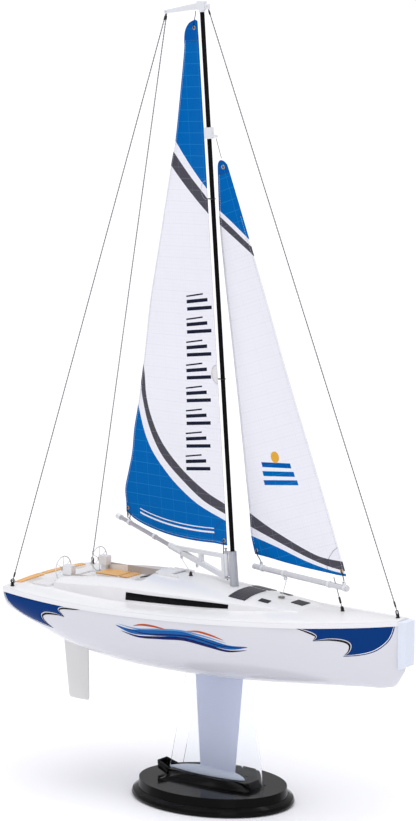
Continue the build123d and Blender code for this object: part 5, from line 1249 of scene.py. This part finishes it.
# ------------------------------------------------------------------ finishes on the carried-over pieces
BEVELS = {"deck_moulding": 0.35, "gunwale_rail": 0.2, "bow_bumper": 0.6, "side_windows": 0.12, "stand_base": 0.3, "stand_cradle": 0.35, "roof_vents": 0.2,
          "fore_hatch": 0.25, "companion_hatch": 0.3, "instrument_pod": 0.3, "helm_pedestals": 0.3, "masthead": 0.25, "halyard_fitting": 0.25,
          "mast_step": 0.3, "teak_pads": 0.15, "stern_teak": 0.15, "hatch_rails": 0.15, "gooseneck": 0.25, "clear_support": 0.2}
FINISH = {"deck_moulding": "deck", "gunwale_rail": "rail", "bow_bumper": "bumper", "side_windows": "black_gloss", "roof_panels": "solar", "roof_vents": "panel",
          "fore_hatch": "panel", "hatch_rails": "deck", "companion_hatch": "deck", "washboard": "teak", "teak_pads": "teak", "stern_teak": "teak",
          "instrument_pod": "deck", "pod_display": "black_gloss", "helm_pedestals": "deck", "mast_step": "step", "mast": "mast", "masthead": "fit_white",
          "halyard_fitting": "fit_white", "stay_shackles": "dark_steel", "deck_eyes": "dark_steel", "jib_sheet_bush": "steel", "mast_rings": "dark_steel",
          "jib_lines": "dark_steel", "rudder_tube": "brass", "rudder_stock": "steel", "drive_servos": "fit_black", "rudder_servo_arm": "fit_white",
          "rudder_pushrod": "steel", "sail_winch_arm": "fit_white", "inner_screws": "steel", "inner_trays": "fit_black", "battery_pack": "mid_blue_print",
          "receiver": "fit_black", "power_switch_body": "fit_black", "power_switch_lever": "fit_black", "keel_box": "deck", "stand_base": "stand",
          "stand_pad": "pad", "clear_support": "clear", "stand_cradle": "stand", "cradle_screws": "steel", "main_boom": "boom", "gooseneck": "fit_white",
          "gooseneck_pin": "steel", "main_boom_fittings": "fit_white", "jib_boom": "boom_pale", "jib_boom_rings": "fit_white"}
for node, mat in FINISH.items():
    weld_node(node, BEVELS.get(node, 0.0))
    paint(node, M[mat])
for node in ("hull_shell", "keel_fin", "ballast_bulb", "rudder_blade", "mainsail", "jib_sail", "standing_rigging", "main_sheet", "jib_sheet",
             "wheel_starboard", "wheel_port"):
    paint(node, M["deck"])

# ------------------------------------------------------------------ floor, light
m, nt, bsdf = new_material("floor_paper")
vec = coords(nt)
tone = mix_color(nt, noise(nt, vec, 1.5, 3.0), (0.92, 0.92, 0.95), (0.95, 0.95, 0.975))
nt.links.new(tone, bsdf.inputs["Base Color"])
bsdf.inputs["Roughness"].default_value = 0.55
bsdf.inputs["Specular IOR Level"].default_value = 0.2
add_bump(nt, bsdf, noise(nt, vec, 700.0, 2.0), 0.05, 0.0003)
me = bpy.data.meshes.new("floor")
R = 60.0
ringv = [(R * math.cos(2 * math.pi * k / 96), R * math.sin(2 * math.pi * k / 96), -0.0004) for k in range(96)]
me.from_pydata(ringv, [], [tuple(range(96))])
me.materials.append(m)
floor = bpy.data.objects.new("floor", me)
scene.collection.objects.link(floor)

world = scene.world or bpy.data.worlds.new("world")
scene.world = world
world.use_nodes = True
bg = world.node_tree.nodes.get("Background") or world.node_tree.nodes.new("ShaderNodeBackground")
bg.inputs["Color"].default_value = (0.96, 0.96, 0.99, 1.0)
bg.inputs["Strength"].default_value = 0.60


def area_light(name, loc, target, size, power, color=(1, 1, 1)):
    d = bpy.data.lights.new(name, "AREA")
    d.shape = "RECTANGLE"
    d.size, d.size_y = size
    d.energy = power
    d.color = color
    o = bpy.data.objects.new(name, d)
    scene.collection.objects.link(o)
    o.location = loc
    o.rotation_euler = (Vector(target) - Vector(loc)).to_track_quat("-Z", "Y").to_euler()
    return o


def sun_light(name, toward, strength, angle, color=(1, 1, 1)):
    d = bpy.data.lights.new(name, "SUN")
    d.energy = strength
    d.angle = math.radians(angle)
    d.color = color
    o = bpy.data.objects.new(name, d)
    scene.collection.objects.link(o)
    o.location = (0, 0, 3)
    o.rotation_euler = (-Vector(toward)).to_track_quat("-Z", "Y").to_euler()
    return o


sun_light("overhead", (0.10, -0.12, 1.0), 2.2, 75.0)
area_light("front", (1.6, -2.6, 1.4), (0.0, 0.0, 0.4), (1.2, 1.2), 5.0)
